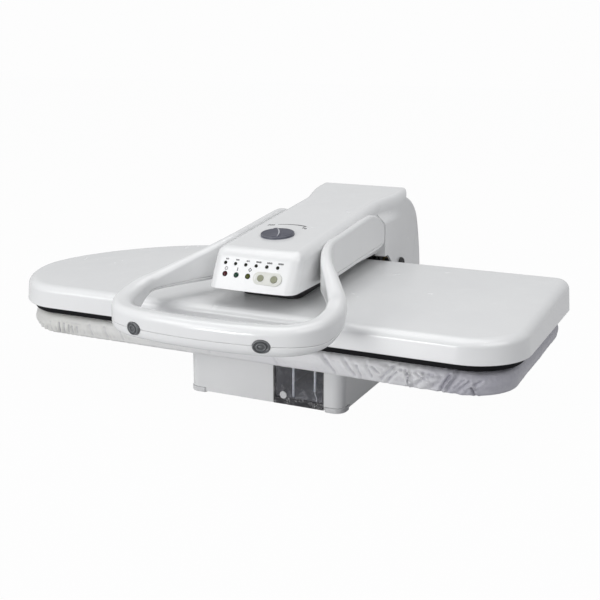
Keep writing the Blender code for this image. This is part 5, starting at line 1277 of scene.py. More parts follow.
def makeBase(look):
    half, front, rear, corner = look["half"], -press["baseFront"], look["rear"], look["corner"]
    wall, top, skirt = press["wall"], baseHigh.z, look["skirt"]
    rows = [(wall, skirt), (look["footRound"], skirt), (0.0, skirt + look["footRound"])]
    for k in range(6):
        turn = math.pi / 2 * k / 5
        rows.append((look["topRound"] * (1 - math.cos(turn)), top - look["topRound"] * (1 - math.sin(turn))))
    rings = []
    for inset, z in [(wall, top - wall)] + rows:
        outline = roundedBox(-half + inset, half - inset, front + inset, rear - inset, corner - inset,
                             look["cornerSteps"])
        rings.append([(x, y, z) for x, y in outline])
    shell = addPiece("baseShell", ringLoft("baseShell", rings), materials["shellWhite"])
    gap, over = press["gap"], press["cutterOver"]
    boot = look["footSize"] + look["footProud"] + 2 * gap
    for sideX in (-1, 1):
        for sideY, end in ((-1, front), (1, rear)):
            outX = sideX * (half + look["footProud"] + gap)
            outY = end + sideY * (look["footProud"] + gap)
            inX, inY = outX - sideX * boot, outY - sideY * boot
            pocket = blockPiece("bootRoom", (min(outX, inX), min(outY, inY), -over),
                                (max(outX, inX), max(outY, inY), look["footHigh"] + gap))
            joinBy(shell, pocket, "DIFFERENCE")
    window = look["window"]
    joinBy(shell, blockPiece("windowRoom", (window[0], front - over, -over / 2),
                             (window[1], front + look["windowDeep"], top - wall - gap)), "DIFFERENCE")
    side, ahead, behind = look["column"]
    column = blockPiece("columnRoom", (-side, ahead, top - 2 * wall), (side, behind, top + over))
    joinBy(shell, column, "DIFFERENCE")
    glandX, glandZ, glandRadius = look["gland"]
    bore = lathe("glandRoom", [(0, 0.01), (glandRadius, 0.01), (glandRadius, -0.01), (0, -0.01)],
                 Matrix.Translation((glandX, rear, glandZ)) @ Matrix.Rotation(math.pi / 2, 4, "X"), 40)
    joinBy(shell, addPiece("glandRoom", bore, None), "DIFFERENCE")
    joinBy(shell, addPiece("reliefRoom", reliefMesh(look, rear, top), None), "DIFFERENCE")
    softenRims(shell, press["softRim"])
    smoothUpTo(shell.data, 30)
    finishPiece(settle(shell), "base_housing", "base")


def makeBoots(look):
    high, proud = look["footHigh"], look["footProud"]
    rows = [(proud, 0.0), (proud * 0.3, proud * 0.3), (0.0, proud), (0.0, high - proud * 0.6),
            (proud * 0.2, high - proud * 0.2), (proud * 0.6, high)]
    for sideY, row in ((-1, "front"), (1, "rear")):
        for sideX, hand in ((-1, "left"), (1, "right")):
            rings = [[(x, y, z) for x, y in footOutline(look, sideX, sideY, inset)] for inset, z in rows]
            name = "boot" + row.title() + hand.title()
            boot = settle(addPiece(name, ringLoft(name, rings), materials["bootGrey"], 35))
            finishPiece(boot, "foot_" + row + "_" + hand, "base")


# tank: filler plug and the two tubes seen through its dark face
tankInside = {
    "front": -0.0945,
    "tubeBack": 0.0052,
    "tubeRadius": 0.0015,
    "thinRadius": 0.0006,
    "firstX": 0.0392,
    "secondX": 0.0682,
    "low": 0.0120,
    "high": 0.0545,
    "shortLow": 0.0225,
    "forkRise": 0.006,
    "forkSpread": 0.0045,
    "footX": 0.0700,
    "footLow": 0.0095,
    "plug": (0.028, 0.014),
    "plugRadius": 0.0048,
    "steps": 16,
}


def sweep(name, points, radius, steps):
    # a round tube along a run of points, its ends rounded a little
    spots = [Vector(point) for point in points]
    rings = []
    for k, spot in enumerate(spots):
        along = (spots[min(k + 1, len(spots) - 1)] - spots[max(k - 1, 0)]).normalized()
        side = along.orthogonal().normalized() if k == 0 else (side - along * side.dot(along)).normalized()
        other = along.cross(side)
        ends = ((0.7, -0.3), (1.0, 0.0)) if k == 0 else (((1.0, 0.0), (0.7, 0.3)) if k == len(spots) - 1
                                                         else ((1.0, 0.0),))
        for share, ahead in ends:
            rings.append([spot + along * (ahead * radius) + side * (share * radius * math.cos(a))
                          + other * (share * radius * math.sin(a))
                          for a in (2 * math.pi * n / steps for n in range(steps))])
    return ringLoft(name, rings)


def makeTankInside(look):
    y = look["front"] + look["tubeBack"]
    first, second = look["firstX"], look["secondX"]
    fork = look["high"] - look["forkRise"]
    wide = look["tubeRadius"]
    runs = [([(first, y, look["low"]), (first, y, fork)], wide)]
    for side in (-1, 1):
        runs.append(([(first, y, fork - 0.001), (first + side * look["forkSpread"], y, look["high"])],
                     wide * 0.8))
    runs.append(([(second, y, look["shortLow"]), (second, y, look["high"])], wide))
    curl = bezierPoints((second, look["shortLow"] + 0.002), (second - 0.001, look["shortLow"] - 0.006),
                        (look["footX"] + 0.002, look["footLow"] + 0.006), (look["footX"], look["footLow"]),
                        10)
    runs.append(([(second, y, look["shortLow"] + 0.002)] + [(x, y, z) for x, z in curl], look["thinRadius"]))
    tubes = None
    for points, radius in runs:
        mesh = sweep("tankTubes", points, radius, look["steps"])
        run = addPiece("tankTubes", mesh, materials["tubeWhite"], 60)
        tubes = run if tubes is None else joinBy(tubes, run, "UNION")
    tubes.data.shade_smooth()
    finishPiece(settle(tubes, weighted=False), "tank_tubes", "water_tank_unit")
    radius = look["plugRadius"]
    gap = press["gap"]
    profile = [(0, 0.0011), (0.35, 0.0011), (0.42, 0.0007), (0.50, 0.0007), (0.56, 0.0012), (0.82, 0.0014),
               (0.93, 0.0012), (1.0, 0.0007), (1.0, gap), (0.5, gap), (0.5, -0.003), (0, -0.003)]
    place = Matrix.Translation((look["plug"][0], look["front"], look["plug"][1])) \
        @ Matrix.Rotation(math.pi / 2, 4, "X")
    mesh = lathe("tankPlug", [(share * radius, rise) for share, rise in profile], place, 40)
    plainPiece("tankPlug", mesh, "bootGrey", 50, "tank_plug", "water_tank_unit")


# control face: places on the sloping front of the arm, local Z out of it
def facePlace(x, up, sunk=0.0):
    bow = armShell["bow"] * (1 - (x / armShell["half"]) ** 2)
    spot = (x, -armShell["headFoot"] + up * math.sin(faceLean) - bow,
            armShell["bottom"] + up * math.cos(faceLean))
    return Matrix.Translation(spot) @ Matrix.Rotation(math.pi / 2 - faceLean, 4, "X") \
        @ Matrix.Translation((0, 0, -sunk))


panel = {
    "smallX": -0.0388,
    "smallPitch": 0.0140,
    "smallUp": 0.0324,
    "smallRadius": 0.0018,
    "bigX": -0.0364,
    "bigPitch": 0.0157,
    "bigUp": 0.0187,
    "bigRadius": 0.0030,
    "lensDepth": 0.0045,
    "bezelX": 0.0208,
    "bezelUp": 0.0180,
    "bezelHalf": 0.019,
    "bezelHigh": 0.0080,
    "bezelDepth": 0.0035,
    "bezelProud": 0.0005,
    "padPitch": 0.0177,
    "padRadius": 0.0044,
    "padLength": 0.0075,
}


def domeMesh(name, radius, rise, depth, places, steps=40):
    profile = [(0, rise)] + [(radius * math.sin(t), rise * math.cos(t) ** 0.8)
                             for t in (math.pi / 2 * k / 8 for k in range(1, 8))]
    profile += [(radius, 0.0), (radius, -depth), (0, -depth)]
    bm = bmesh.new()
    for place in places:
        mesh = lathe(name, profile, place, steps)
        bm.from_mesh(mesh)
        bpy.data.meshes.remove(mesh)
    return meshFrom(name, bm, recalc=False)


def stadiumPoints(half, radius, steps=20):
    return arcPoints(half, 0, radius, -math.pi / 2, math.pi / 2, steps) \
        + arcPoints(-half, 0, radius, math.pi / 2, 3 * math.pi / 2, steps)


def makePanel(look):
    for k, hand in enumerate(("red", "green", "yellow")):
        place = facePlace(look["bigX"] + k * look["bigPitch"], look["bigUp"])
        name = "lens" + hand.title()
        mesh = domeMesh(name, look["bigRadius"], 0.0012, look["lensDepth"], [place])
        plainPiece(name, mesh, name, 60, "indicator_lens_" + hand, "arm")
    places = [facePlace(look["smallX"] + k * look["smallPitch"], look["smallUp"]) for k in range(6)]
    mesh = domeMesh("smallLampDomes", look["smallRadius"] * 0.92, 0.0010, 0.0010, places, 24)
    plainPiece("smallLampDomes", mesh, "lensDark", 60, None, "arm")
    place = facePlace(look["bezelX"], look["bezelUp"])
    half = look["bezelHalf"] - look["bezelHigh"]
    proud = look["bezelProud"]
    rows = [(0.0, -look["bezelDepth"]), (0.0, proud - 0.0006), (0.0001, proud - 0.0003),
            (0.0003, proud - 0.0001), (0.0006, proud), (0.0016, proud), (0.0021, proud - 0.0002)]
    rings = [[(x, y, z) for x, y in stadiumPoints(half, look["bezelHigh"] - inset)] for inset, z in rows]
    mesh = ringLoft("bezel", rings)
    mesh.transform(place)
    bezel = addPiece("bezel", mesh, materials["bezelBeige"])
    for side, hand in ((-1, "left"), (1, "right")):
        spot = place @ Matrix.Translation((side * look["padPitch"] / 2, 0, 0))
        room = look["padRadius"] + press["gap"]
        hole = lathe("padRoom", [(0, 0.01), (room, 0.01), (room, -0.01), (0, -0.01)], spot, 40)
        joinBy(bezel, addPiece("padRoom", hole, None), "DIFFERENCE")
        radius = look["padRadius"]
        foot = 0.0012 - look["padLength"]
        profile = [(0, 0.0009), (0.30, 0.00092), (0.55, 0.0010), (0.75, 0.0012), (0.88, 0.0011),
                   (0.96, 0.0007), (1.0, 0.0001), (1.0, foot), (0, foot)]
        mesh = lathe("pad", [(share * radius, rise) for share, rise in profile], spot, 40)
        plainPiece("pad" + hand.title(), mesh, "padOlive", 50, "panel_button_" + hand,
                   "panel_key_" + hand)
    smoothUpTo(bezel.data, 35)
    finishPiece(settle(bezel), "button_bezel", "arm")


# dial: a disc with a curved finger ridge, turned to its start mark
dial = {
    "place": (-0.006, -0.0405),
    "radius": 0.0212,
    "rim": 0.0030,
    "ridge": 0.0046,
    "floorLeft": 0.0026,
    "floorRight": 0.0036,
    "bow": 0.0034,
    "turn": 27,
    "slopeLeft": 0.0130,
    "slopeRight": 0.0024,
    "rings": 30,
    "spokes": 120,
    "rimRing": 0.0206,
    "highlightHalf": 0.00095,
}


def dialPlace(look):
    x, y = look["place"]
    return Matrix.Translation((x, y, armTop(y))) @ Matrix.Rotation(math.atan(armShell["slope"]), 4, "X")


def dialRise(look, x, y):
    # height of the dial's face: a ridge across it, a long scoop on one side and a short one on the other
    radius = math.hypot(x, y)
    turn = math.radians(look["turn"])
    across = x * math.cos(turn) + y * math.sin(turn)
    along = -x * math.sin(turn) + y * math.cos(turn)
    off = across - look["bow"] * (1 - (along / look["radius"]) ** 2) + look["bow"] * 0.4
    if off < 0:
        rise = look["floorLeft"] + (look["ridge"] - look["floorLeft"]) \
            * (1 - smoothStep(-off, 0.0006, look["slopeLeft"]))
    else:
        rise = look["floorRight"] + (look["ridge"] - look["floorRight"]) \
            * (1 - smoothStep(off, 0.0006, look["slopeRight"]))
    edge = smoothStep(radius, look["radius"] * 0.84, look["radius"] * 0.985)
    return rise + (look["rim"] - rise) * edge


def makeDial(look):
    bm = bmesh.new()
    place = dialPlace(look)
    count = look["spokes"]
    rows = [[bm.verts.new((0, 0, dialRise(look, 0, 0)))]]
    for k in range(1, look["rings"] + 1):
        flat = circlePoints(look["radius"] * 0.985 * k / look["rings"], 0, count)
        rows.append([bm.verts.new((x, y, dialRise(look, x, y))) for x, y, z in flat])
    for share, rise in ((0.996, look["rim"] - 0.0003), (1.0, look["rim"] - 0.0009), (1.0, press["gap"])):
        rows.append([bm.verts.new(point) for point in circlePoints(look["radius"] * share, rise, count)])
    closeFan(bm, rows)
    bm.transform(place)
    plainPiece("dialKnob", meshFrom("dialKnob", bm), "dialSlate", 40, "temperature_dial",
               "dial")
    ring = look["rimRing"]
    profile = [(ring - 0.0003, 0.0020), (ring - 0.0002, 0.0029), (ring, 0.0032), (ring + 0.0002, 0.0031),
               (ring + 0.0003, 0.0020), (ring - 0.0003, 0.0020)]
    mesh = lathe("dialRim", profile, place, count)
    plainPiece("dialRim", mesh, "buttonGrey", 60, None, "dial")
    makeRidgeHighlight(look, place)


def makeRidgeHighlight(look, place):
    # painted highlight: a thin light strip that follows the ridge across the dial, standing in for its
    # reflection
    bm = bmesh.new()
    turn = math.radians(look["turn"])
    steps = 40
    rows = []
    for k in range(steps + 1):
        share = -0.90 + 1.78 * k / steps
        along = share * look["radius"]
        middle = look["bow"] * (1 - share ** 2) - look["bow"] * 0.4
        half = look["highlightHalf"] * (0.25 + 0.75 * math.sin(math.pi * k / steps))
        row = []
        for off, lift in ((-half, -0.0005), (half, -0.0005), (half, 0.00006), (-half, 0.00010)):
            across = middle + off
            x = across * math.cos(turn) - along * math.sin(turn)
            y = across * math.sin(turn) + along * math.cos(turn)
            row.append(bm.verts.new(place @ Vector((x, y, dialRise(look, x, y) + lift))))
        rows.append(row)
    for first, second in zip(rows, rows[1:]):
        bridge(bm, first, second)
    bm.faces.new(rows[0])
    bm.faces.new(rows[-1][::-1])
    plainPiece("dialRidge", meshFrom("dialRidge", bm), "dialBright", 50, None, "dial")


# print: thin raised ink for the dial's arc, its marks and the signs of the lamps
ink = {
    "thick": 0.00014,
    "sunk": 0.0004,
    "arcRadius": 0.0485,
    "arcStart": 116,
    "arcEnd": 68,
    "arcWidth": (0.0009, 0.0030),
    "markWidth": 0.0013,
    "marks": ((-0.0318, 0.0385, 0.0050), (-0.0296, 0.0392, 0.0040), (-0.0274, 0.0398, 0.0050),
              (-0.0250, 0.0404, 0.0040), (0.0172, 0.0385, 0.0054), (0.0196, 0.0372, 0.0044),
              (0.0220, 0.0362, 0.0054)),
}


def ribbonInto(bm, points, width, place, closed=False):
    # a flat line of ink along points; a pair of widths makes it grow from its start to its end
    spots = [Vector((x, y, 0)) for x, y in points]
    count = len(spots)
    first, last = width if isinstance(width, tuple) else (width, width)
    rows = []
    for k, spot in enumerate(spots):
        before = spots[(k - 1) % count] if closed else spots[max(k - 1, 0)]
        after = spots[(k + 1) % count] if closed else spots[min(k + 1, count - 1)]
        along = (after - before).normalized()
        side = Vector((-along.y, along.x, 0)) * (first + (last - first) * k / (count - 1)) / 2
        under, over = Vector((0, 0, -ink["sunk"])), Vector((0, 0, ink["thick"]))
        corners = (spot - side + under, spot + side + under, spot + side + over, spot - side + over)
        rows.append([bm.verts.new(place @ corner) for corner in corners])
    for before, after in list(zip(rows, rows[1:])) + ([(rows[-1], rows[0])] if closed else []):
        bridge(bm, before, after)
    if not closed:
        bm.faces.new(rows[0])
        bm.faces.new(rows[-1][::-1])


def layOn(bm, place, under):
    # moves the ink drawn on the plane of place onto the face of the solid under it
    wall = BVHTree.FromObject(under, bpy.context.evaluated_depsgraph_get())
    across = place.to_3x3() @ Vector((0, 0, 1))
    turned = place.inverted()
    for vert in bm.verts:
        flat = turned @ vert.co
        start = place @ Vector((flat.x, flat.y, 0.008))
        spot = wall.ray_cast(start + homeShift, -across, 0.016)[0]
        if spot is not None:
            vert.co = spot - homeShift + across * (flat.z if flat.z < 0 else ink["thick"])


def makePrint(look):
    bm = bmesh.new()
    top = dialPlace(dial)
    start, end = math.radians(look["arcStart"]), math.radians(look["arcEnd"])
    ribbonInto(bm, arcPoints(0, 0, look["arcRadius"], start, end, 40), look["arcWidth"], top)
    for x, y, tall in look["marks"]:
        ribbonInto(bm, [(x, y - tall / 2), (x, y + tall / 2)], look["markWidth"], top)
    layOn(bm, top, bpy.data.objects["armShell"])
    for k in range(6):
        x = panel["smallX"] + k * panel["smallPitch"] + 0.0016 + 0.0003 * k
        strokes = 4 if k < 3 else 6
        for n in range(strokes):
            place = facePlace(x + (n - strokes / 2 + 0.5) * 0.00115, 0.0373 - 0.0002 * (n % 2))
            tall = random.uniform(0.0008, 0.0011)
            ribbonInto(bm, [(0, -tall), (0, tall)], 0.00065 if k < 3 else 0.00085, place)
            if n % 2 == 0:
                ribbonInto(bm, [(0, tall * 0.7), (0.0009, tall * 0.7)], 0.0005, place)
    ring = facePlace(-0.0360, 0.0256)
    ribbonInto(bm, arcPoints(0, 0, 0.0018, 0, 2 * math.pi * 23 / 24, 23), 0.0006, ring, True)
    drop = facePlace(-0.0204, 0.0260)
    ribbonInto(bm, [(0, -0.0018), (0, 0.0020)], 0.0009, drop)
    ribbonInto(bm, [(-0.0009, -0.0016), (0.0009, -0.0016)], 0.0005, drop)
    kite = facePlace(-0.0036, 0.0268)
    ribbonInto(bm, [(0, -0.0021), (0.0019, 0), (0, 0.0021), (-0.0019, 0)], 0.0012, kite, True)
    mark = facePlace(0.0208, 0.0118)
    ribbonInto(bm, [(-0.0013, 0), (0.0013, 0)], 0.0005, mark)
    ribbonInto(bm, [(-0.0008, 0.0007), (0.0008, 0.0007)], 0.0003, mark)
    plainPiece("panelPrint", meshFrom("panelPrint", bm), "printGrey", 20, None, "arm")


def makeCaps(look):
    radius, high = look["capRadius"], look["capHeight"]
    profile = [(0, 0.82), (0.30, 0.80), (0.36, 0.92), (0.55, 0.97), (0.75, 0.92), (0.90, 0.72), (0.98, 0.42),
               (1.0, 0.20), (1.0, 0.0), (0, 0.0)]
    for side, hand in ((-1, "left"), (1, "right")):
        low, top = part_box("pivot_cap_" + hand)
        middle = (low + top) / 2 - homeShift
        inner = low.x - homeShift.x if side > 0 else top.x - homeShift.x
        place = Matrix.Translation((inner, middle.y, middle.z)) @ Matrix.Rotation(side * math.pi / 2, 4, "Y")
        rows = [(share * radius, rise * high) for share, rise in profile]
        plainPiece("cap" + hand.title(), lathe("cap", rows, place, 40), "rubberBlack", 50,
                   "pivot_cap_" + hand, "arm")


# painted shade: a dark rubber block round the bracket between the arm and the shoe, standing in for the shade
# under the arm's head
bracketBoot = {
    "half": 0.0400,
    "front": -0.0780,
    "rear": 0.0950,
    "corner": 0.014,
    "wall": 0.0022,
    "clear": 0.0006,
}


def makeBracketShadeBlock(look):
    top = armShell["bottom"] - look["clear"]
    shoeTop = shoeShell["top"] + shoeShell["crown"]
    wall = look["wall"]
    rings = []
    for inset, high in ((wall, False), (0.0, False), (0.0, True), (wall, True), (wall, False)):
        half, corner = look["half"] - inset, look["corner"] - inset
        outline = roundedBox(-half, half, look["front"] + inset, look["rear"] - inset, corner, 10)
        rings.append([(x, y, top if high else shoeHeight(y, shoeTop) + look["clear"]) for x, y in outline])
    mesh = ringLoft("bracketBoot", rings, capStart=False, capEnd=False)
    bm = bmesh.new()
    bm.from_mesh(mesh)
    bmesh.ops.remove_doubles(bm, verts=bm.verts, dist=0.00001)
    # the dark block is painted shade under the head, not a part of the frame
    boot = addPiece("bracketBoot", meshFrom("bracketBoot", bm), materials["rubberBlack"])
    softenRims(boot, press["softRim"])
    finishPiece(settle(boot), None, "arm")


makeBracketShadeBlock(bracketBoot)
makeBase(baseBox)
makeBoots(baseBox)
makeTankInside(tankInside)
print("base and tank made")
makePanel(panel)
makeDial(dial)
makePrint(ink)
makeCaps(armShell)
print("control face made")


# inner pieces copied from the frame, with fine rounded edges
fineEdges = {"width": 0.0004, "angle": 32}
finePieces = [
    ("water_tank", "smokeClear", "smoke_plastic", "water_tank_unit"),
    ("arm_under_cover", "shellWhite", "white_plastic", "arm"),
    ("column_sleeve", "buttonGrey", "grey_plastic", "base"),
    ("hinge_column", "zincSteel", "steel_zinc", "base"),
    ("base_floor", "zincSteel", "steel_zinc", "base"),
    ("board_tray", "zincSteel", "steel_zinc", "base"),
    ("shoe_bracket", "zincSteel", "steel_zinc", "arm"),
    ("arm_frame", "zincSteel", "steel_zinc", "arm"),
    ("toggle_link", "zincSteel", "steel_zinc", "toggle"),
    ("cord_gland", "rubberBlack", "black_rubber", "base"),
]


def refinePiece(nodeName, finish, slot, body):
    # the frame's mesh, merged and joined up, then finely rounded
    node = nodes[nodeName]
    bm = bmesh.new()
    bm.from_mesh(node.data)
    bm.transform(Matrix.Translation(-homeShift) @ node.matrix_world)
    bmesh.ops.remove_doubles(bm, verts=bm.verts, dist=0.00001)
    bmesh.ops.dissolve_limit(bm, angle_limit=math.radians(0.6), verts=bm.verts, edges=bm.edges)
    words = nodeName.split("_")
    name = words[0] + "".join(word.title() for word in words[1:]) + "Fine"
    piece = addPiece(name, meshFrom(name, bm, recalc=False), materials[finish], 30)
    softenRims(piece, fineEdges["width"], fineEdges["angle"])
    finishPiece(settle(piece), nodeName, body)


for row in finePieces:
    refinePiece(*row)
print("inner pieces refined:", len(finePieces))


# repeats: one node tree sets a small piece on every spot
def makeSpotTree():
    tree = bpy.data.node_groups.new("placeOnSpots", "GeometryNodeTree")
    inputs = {}
    for label, kind, value in (("Spots", "NodeSocketGeometry", None), ("Piece", "NodeSocketObject", None),
                               ("Size", "NodeSocketFloat", 1.0), ("Spin", "NodeSocketFloat", 0.0),
                               ("Seed", "NodeSocketInt", 3), ("Finish", "NodeSocketMaterial", None)):
        socket = tree.interface.new_socket(label, in_out="INPUT", socket_type=kind)
        if value is not None:
            socket.default_value = value
        inputs[label] = socket.identifier
    tree.interface.new_socket("Geometry", in_out="OUTPUT", socket_type="NodeSocketGeometry")
    start, end = tree.nodes.new("NodeGroupInput"), tree.nodes.new("NodeGroupOutput")
    turned = None
    for label, axis, pivot in (("facing", "Z", "AUTO"), ("along", "X", "Z")):
        held = tree.nodes.new("GeometryNodeInputNamedAttribute")
        held.data_type = "FLOAT_VECTOR"
        held.inputs["Name"].default_value = label
        align = tree.nodes.new("FunctionNodeAlignRotationToVector")
        align.axis = axis
        align.pivot_axis = pivot
        tree.links.new(held.outputs["Attribute"], align.inputs["Vector"])
        if turned:
            tree.links.new(turned, align.inputs["Rotation"])
        turned = align.outputs["Rotation"]
    chance = tree.nodes.new("FunctionNodeRandomValue")
    chance.data_type = "FLOAT"
    tree.links.new(start.outputs["Spin"], chance.inputs[3])
    chance.inputs[2].default_value = 0.0
    tree.links.new(start.outputs["Seed"], chance.inputs["Seed"])
    axis = tree.nodes.new("ShaderNodeCombineXYZ")
    tree.links.new(chance.outputs[1], axis.inputs["Z"])
    spin = tree.nodes.new("FunctionNodeRotateRotation")
    spin.rotation_space = "LOCAL"
    tree.links.new(turned, spin.inputs["Rotation"])
    tree.links.new(axis.outputs[0], spin.inputs["Rotate By"])
    piece = tree.nodes.new("GeometryNodeObjectInfo")
    tree.links.new(start.outputs["Piece"], piece.inputs["Object"])
    place = tree.nodes.new("GeometryNodeInstanceOnPoints")
    tree.links.new(start.outputs["Spots"], place.inputs["Points"])
    tree.links.new(piece.outputs["Geometry"], place.inputs["Instance"])
    tree.links.new(spin.outputs["Rotation"], place.inputs["Rotation"])
    tree.links.new(start.outputs["Size"], place.inputs["Scale"])
    real = tree.nodes.new("GeometryNodeRealizeInstances")
    tree.links.new(place.outputs["Instances"], real.inputs["Geometry"])
    finish = tree.nodes.new("GeometryNodeSetMaterial")
    tree.links.new(real.outputs["Geometry"], finish.inputs["Geometry"])
    tree.links.new(start.outputs["Finish"], finish.inputs["Material"])
    tree.links.new(finish.outputs["Geometry"], end.inputs["Geometry"])
    return tree, inputs


spotTree, spotInputs = makeSpotTree()


def placeOnSpots(name, spots, mesh, finish, body, spin=0.0, seed=3):
    # spots are rows of a place, the way out of the surface and the way along it
    pattern = addPiece(name + "Pattern", mesh, None, 50)
    data = bpy.data.meshes.new(name)
    data.from_pydata([tuple(place) for place, facing, along in spots], [], [])
    for label, column in (("facing", 1), ("along", 2)):
        layer = data.attributes.new(label, "FLOAT_VECTOR", "POINT")
        layer.data.foreach_set("vector", [value for row in spots for value in row[column]])
    obj = bpy.data.objects.new(name, data)
    bpy.context.scene.collection.objects.link(obj)
    mod = obj.modifiers.new("place on spots", "NODES")
    mod.node_group = spotTree
    values = {"Piece": pattern, "Size": 1.0, "Spin": spin, "Seed": seed, "Finish": materials[finish]}
    for label, value in values.items():
        mod[spotInputs[label]] = value
    finishPiece(settle(obj, weighted=False), None, body)
    bpy.data.objects.remove(pattern, do_unlink=True)


def ringMesh(name, inner, outer, high):
    slope = (outer - inner) * 0.25
    profile = [(inner, -0.0004), (inner, high * 0.7), (inner + slope, high), (outer - slope, high),
               (outer, high * 0.6), (outer, -0.0004), (inner, -0.0004)]
    return lathe(name, profile, Matrix.Identity(4), 28)


def screwMesh(name, radius):
    # pan head with a cross recess cut as a sunk four-armed star
    bm = bmesh.new()
    steps = 24
    rows = [[bm.verts.new((0, 0, radius * 0.10))]]
    for share, rise, crossed in ((0.30, 0.10, True), (0.34, 0.44, True), (0.72, 0.38, False),
                                 (0.94, 0.22, False), (1.0, 0.06, False), (1.0, -0.15, False)):
        ring = []
        for k in range(steps):
            turn = 2 * math.pi * k / steps
            reach = share * radius * (1.9 if crossed and k % 6 == 0 else (0.75 if crossed else 1.0))
            ring.append(bm.verts.new((reach * math.cos(turn), reach * math.sin(turn), rise * radius)))
        rows.append(ring)
    closeFan(bm, rows)
    return meshFrom(name, bm)


def stitchMesh(name, long, wide):
    rings = []
    for share, size in ((-0.5, 0.25), (-0.42, 0.8), (-0.15, 1.0), (0.15, 1.0), (0.42, 0.8), (0.5, 0.25)):
        rings.append([(share * long, y, z) for y, z, flat in circlePoints(size * wide / 2, 0, 6)])
    return ringLoft(name, rings)


repeats = {
    "screwRadius": 0.0034,
    "smallScrew": 0.0026,
    "stitchLong": 0.0032,
    "stitchPitch": 0.0052,
    "stitchWide": 0.0006,
    "hemInset": 0.0285,
    "baseScrewX": (-0.088, -0.030, 0.030, 0.088),
    "baseScrewY": (-0.060, 0.120, 0.215),
    "coverScrewX": 0.044,
    "coverScrewY": (-0.105, 0.005, 0.120),
    "handleScrews": (0.10, 0.22, 0.36, 0.64, 0.78, 0.90),
    "sunk": 0.0001,
    "screwTurn": 1.5,
    "stitchDrop": 0.0003,
}


def makeRepeats(look):
    out = (0.0, 0.0, 1.0)
    across = (1.0, 0.0, 0.0)
    down = (0.0, 0.0, -1.0)

    def faceSpots(first, pitch, up, count):
        rows = []
        for k in range(count):
            place = facePlace(first + k * pitch, up)
            rows.append((place.translation, place.to_3x3() @ Vector(out), across))
        return rows

    placeOnSpots("smallLampRings", faceSpots(panel["smallX"], panel["smallPitch"], panel["smallUp"], 6),
                 ringMesh("ring", panel["smallRadius"] * 0.94, panel["smallRadius"] * 1.22, 0.00035),
                 "rubberBlack", "arm")
    placeOnSpots("bigLampRings", faceSpots(panel["bigX"], panel["bigPitch"], panel["bigUp"], 3),
                 ringMesh("ring", panel["bigRadius"] * 0.90, panel["bigRadius"] * 1.12, 0.00045),
                 "rubberBlack", "arm")
    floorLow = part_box("base_floor")[0].z
    spots = [(Vector((x, y, floorLow)), down, across)
             for x in look["baseScrewX"] for y in look["baseScrewY"]]
    placeOnSpots("baseScrews", spots, screwMesh("screw", look["screwRadius"]), "zincSteel",
                 "base", spin=look["screwTurn"])
    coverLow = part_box("arm_under_cover")[0].z
    spots = [(Vector((side * look["coverScrewX"], y, coverLow)), down, across)
             for side in (-1, 1) for y in look["coverScrewY"]]
    placeOnSpots("coverScrews", spots, screwMesh("screw", look["smallScrew"]), "zincSteel",
                 "arm", spin=look["screwTurn"], seed=5)
    path = handlePath(handleLoop)
    spots = []
    for share in look["handleScrews"]:
        station = path[round(share * (len(path) - 1))]
        spots.append((Vector((station[0], station[1], station[3] + look["sunk"])), down, across))
    placeOnSpots("handleScrews", spots, screwMesh("screw", look["smallScrew"] * 0.8), "zincSteel",
                 "handle", spin=look["screwTurn"], seed=7)
    hem = shoeOutline(look["hemInset"])
    spots = []
    carried = 0.0
    for k, start in enumerate(hem):
        end = hem[(k + 1) % len(hem)]
        long = math.dist(start, end)
        along = Vector((end[0] - start[0], end[1] - start[1], 0)).normalized()
        while carried < long:
            spot = Vector((start[0], start[1], boardPad["low"] - look["stitchDrop"])) + along * carried
            spots.append((spot, down, tuple(along)))
            carried += look["stitchPitch"]
        carried -= long
    placeOnSpots("hemStitches", spots, stitchMesh("stitch", look["stitchLong"], look["stitchWide"]),
                 "foamFelt", "base")
    print("repeats made:", len(spots), "stitches")


makeRepeats(repeats)


# finishes of the frame's own nodes that no piece stands for
nodeFinish = {
    "zincSteel": ("heating_element", "handle_side_bar_left", "handle_side_bar_right",
                  "shoe_standoff_front_left", "shoe_standoff_front_right",
                  "shoe_standoff_rear_left", "shoe_standoff_rear_right"),
    "springSteel": ("counterbalance_spring_left", "counterbalance_spring_right", "dial_shaft",
                    "handle_pivot_shaft", "hinge_pin", "link_pin"),
    "brassSatin": ("hinge_bush_left", "hinge_bush_right", "water_pump"),
    "castAluminium": ("steam_chamber",),
    "circuitGreen": ("control_board",),
    "buttonGrey": ("thermostat",),
    "rubberBlack": ("shoe_seal", "steam_switch_left", "steam_switch_right"),
    "lensDark": ("indicator_light_strip",),
}
for finish, nodeNames in nodeFinish.items():
    for nodeName in nodeNames:
        nodes[nodeName].data.materials.clear()
        nodes[nodeName].data.materials.append(materials[finish])


# stage and light
stageLook = {
    "floorColour": (0.46, 0.46, 0.47),
    "whiteShare": 0.975,
    "glossyWhite": 0.45,
    "skyWhite": 0.982,
    "worldStrength": 0.26,
    "worldColour": (0.94, 0.96, 1.0),
    "size": 14.0,
    "drop": 0.0004,
}


def whiteRays(tree):
    # camera and glass rays see white, mirror rays see some of it, the rest see what is lit
    path = tree.nodes.new("ShaderNodeLightPath")
    glossy = addMath(tree, "MULTIPLY", path.outputs["Is Glossy Ray"], stageLook["glossyWhite"])
    seen = addMath(tree, "MAXIMUM", path.outputs["Is Camera Ray"], path.outputs["Is Transmission Ray"])
    return addMath(tree, "MAXIMUM", glossy, seen)


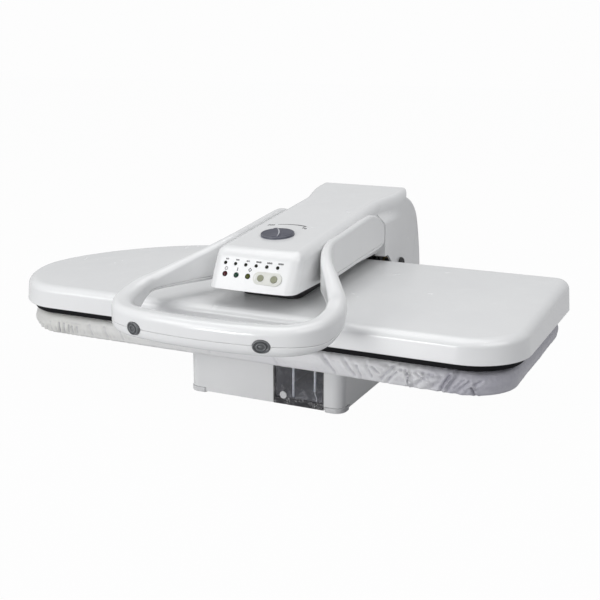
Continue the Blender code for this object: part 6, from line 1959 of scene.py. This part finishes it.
def makeStage(look):
    bm = bmesh.new()
    bmesh.ops.create_grid(bm, x_segments=8, y_segments=8, size=look["size"] / 2)
    floor = bpy.data.objects.new("floor", meshFrom("floor", bm))
    bpy.context.scene.collection.objects.link(floor)
    floor.location.z = -look["drop"]
    made, tree, shader = startMaterial("paleFloor", look["floorColour"], 0.9)[:3]
    white = addNode(tree, "ShaderNodeEmission", Color=(1, 1, 1, 1), Strength=1.0)
    share = addMath(tree, "MULTIPLY", whiteRays(tree), look["whiteShare"])
    mixed = mixedShader(tree, share, shader.outputs[0], white.outputs[0])
    tree.links.new(mixed, tree.nodes["Material Output"].inputs["Surface"])
    floor.data.materials.append(made)
    world = bpy.data.worlds.new("paleRoom")
    bpy.context.scene.world = world
    world.use_nodes = True
    tree = world.node_tree
    background = tree.nodes["Background"]
    background.inputs["Color"].default_value = (*look["worldColour"], 1)
    background.inputs["Strength"].default_value = look["worldStrength"]
    white = addNode(tree, "ShaderNodeBackground", Color=(1, 1, 1, 1), Strength=look["skyWhite"])
    mixed = mixedShader(tree, whiteRays(tree), background.outputs[0], white.outputs[0])
    tree.links.new(mixed, tree.nodes["World Output"].inputs["Surface"])


lamps = [
    {"name": "keySoftbox", "place": (-1.3, -2.0, 1.3), "aim": (0, 0, 0.1), "size": 1.2, "power": 15.0},
    {"name": "topSoftbox", "place": (-0.3, 0.2, 2.3), "aim": (0, 0, 0.1), "size": 2.0, "power": 21.0},
    {"name": "frontFill", "place": (-0.70, -2.3, 0.16), "aim": (0, 0, 0.08), "size": 0.9, "power": 18.5},
    {"name": "lowStrip", "place": (-0.35, -1.5, 0.05), "aim": (0, 0, 0.03), "size": 0.5, "power": 3.2},
    {"name": "rightSoftbox", "place": (1.5, -0.5, 1.7), "aim": (0.1, 0, 0.15), "size": 1.4, "power": 13.5},
]


def makeLamps(rows):
    for row in rows:
        data = bpy.data.lights.new(row["name"], "AREA")
        data.shape = "SQUARE"
        data.size = row["size"]
        data.energy = row["power"]
        lamp = bpy.data.objects.new(row["name"], data)
        bpy.context.scene.collection.objects.link(lamp)
        lamp.location = row["place"]
        lamp.rotation_mode = "QUATERNION"
        lamp.rotation_quaternion = (Vector(row["aim"]) - Vector(row["place"])).to_track_quat("-Z", "Y")


makeStage(stageLook)
makeLamps(lamps)
bpy.context.scene.view_settings.view_transform = "Standard"
print("stage and light made")
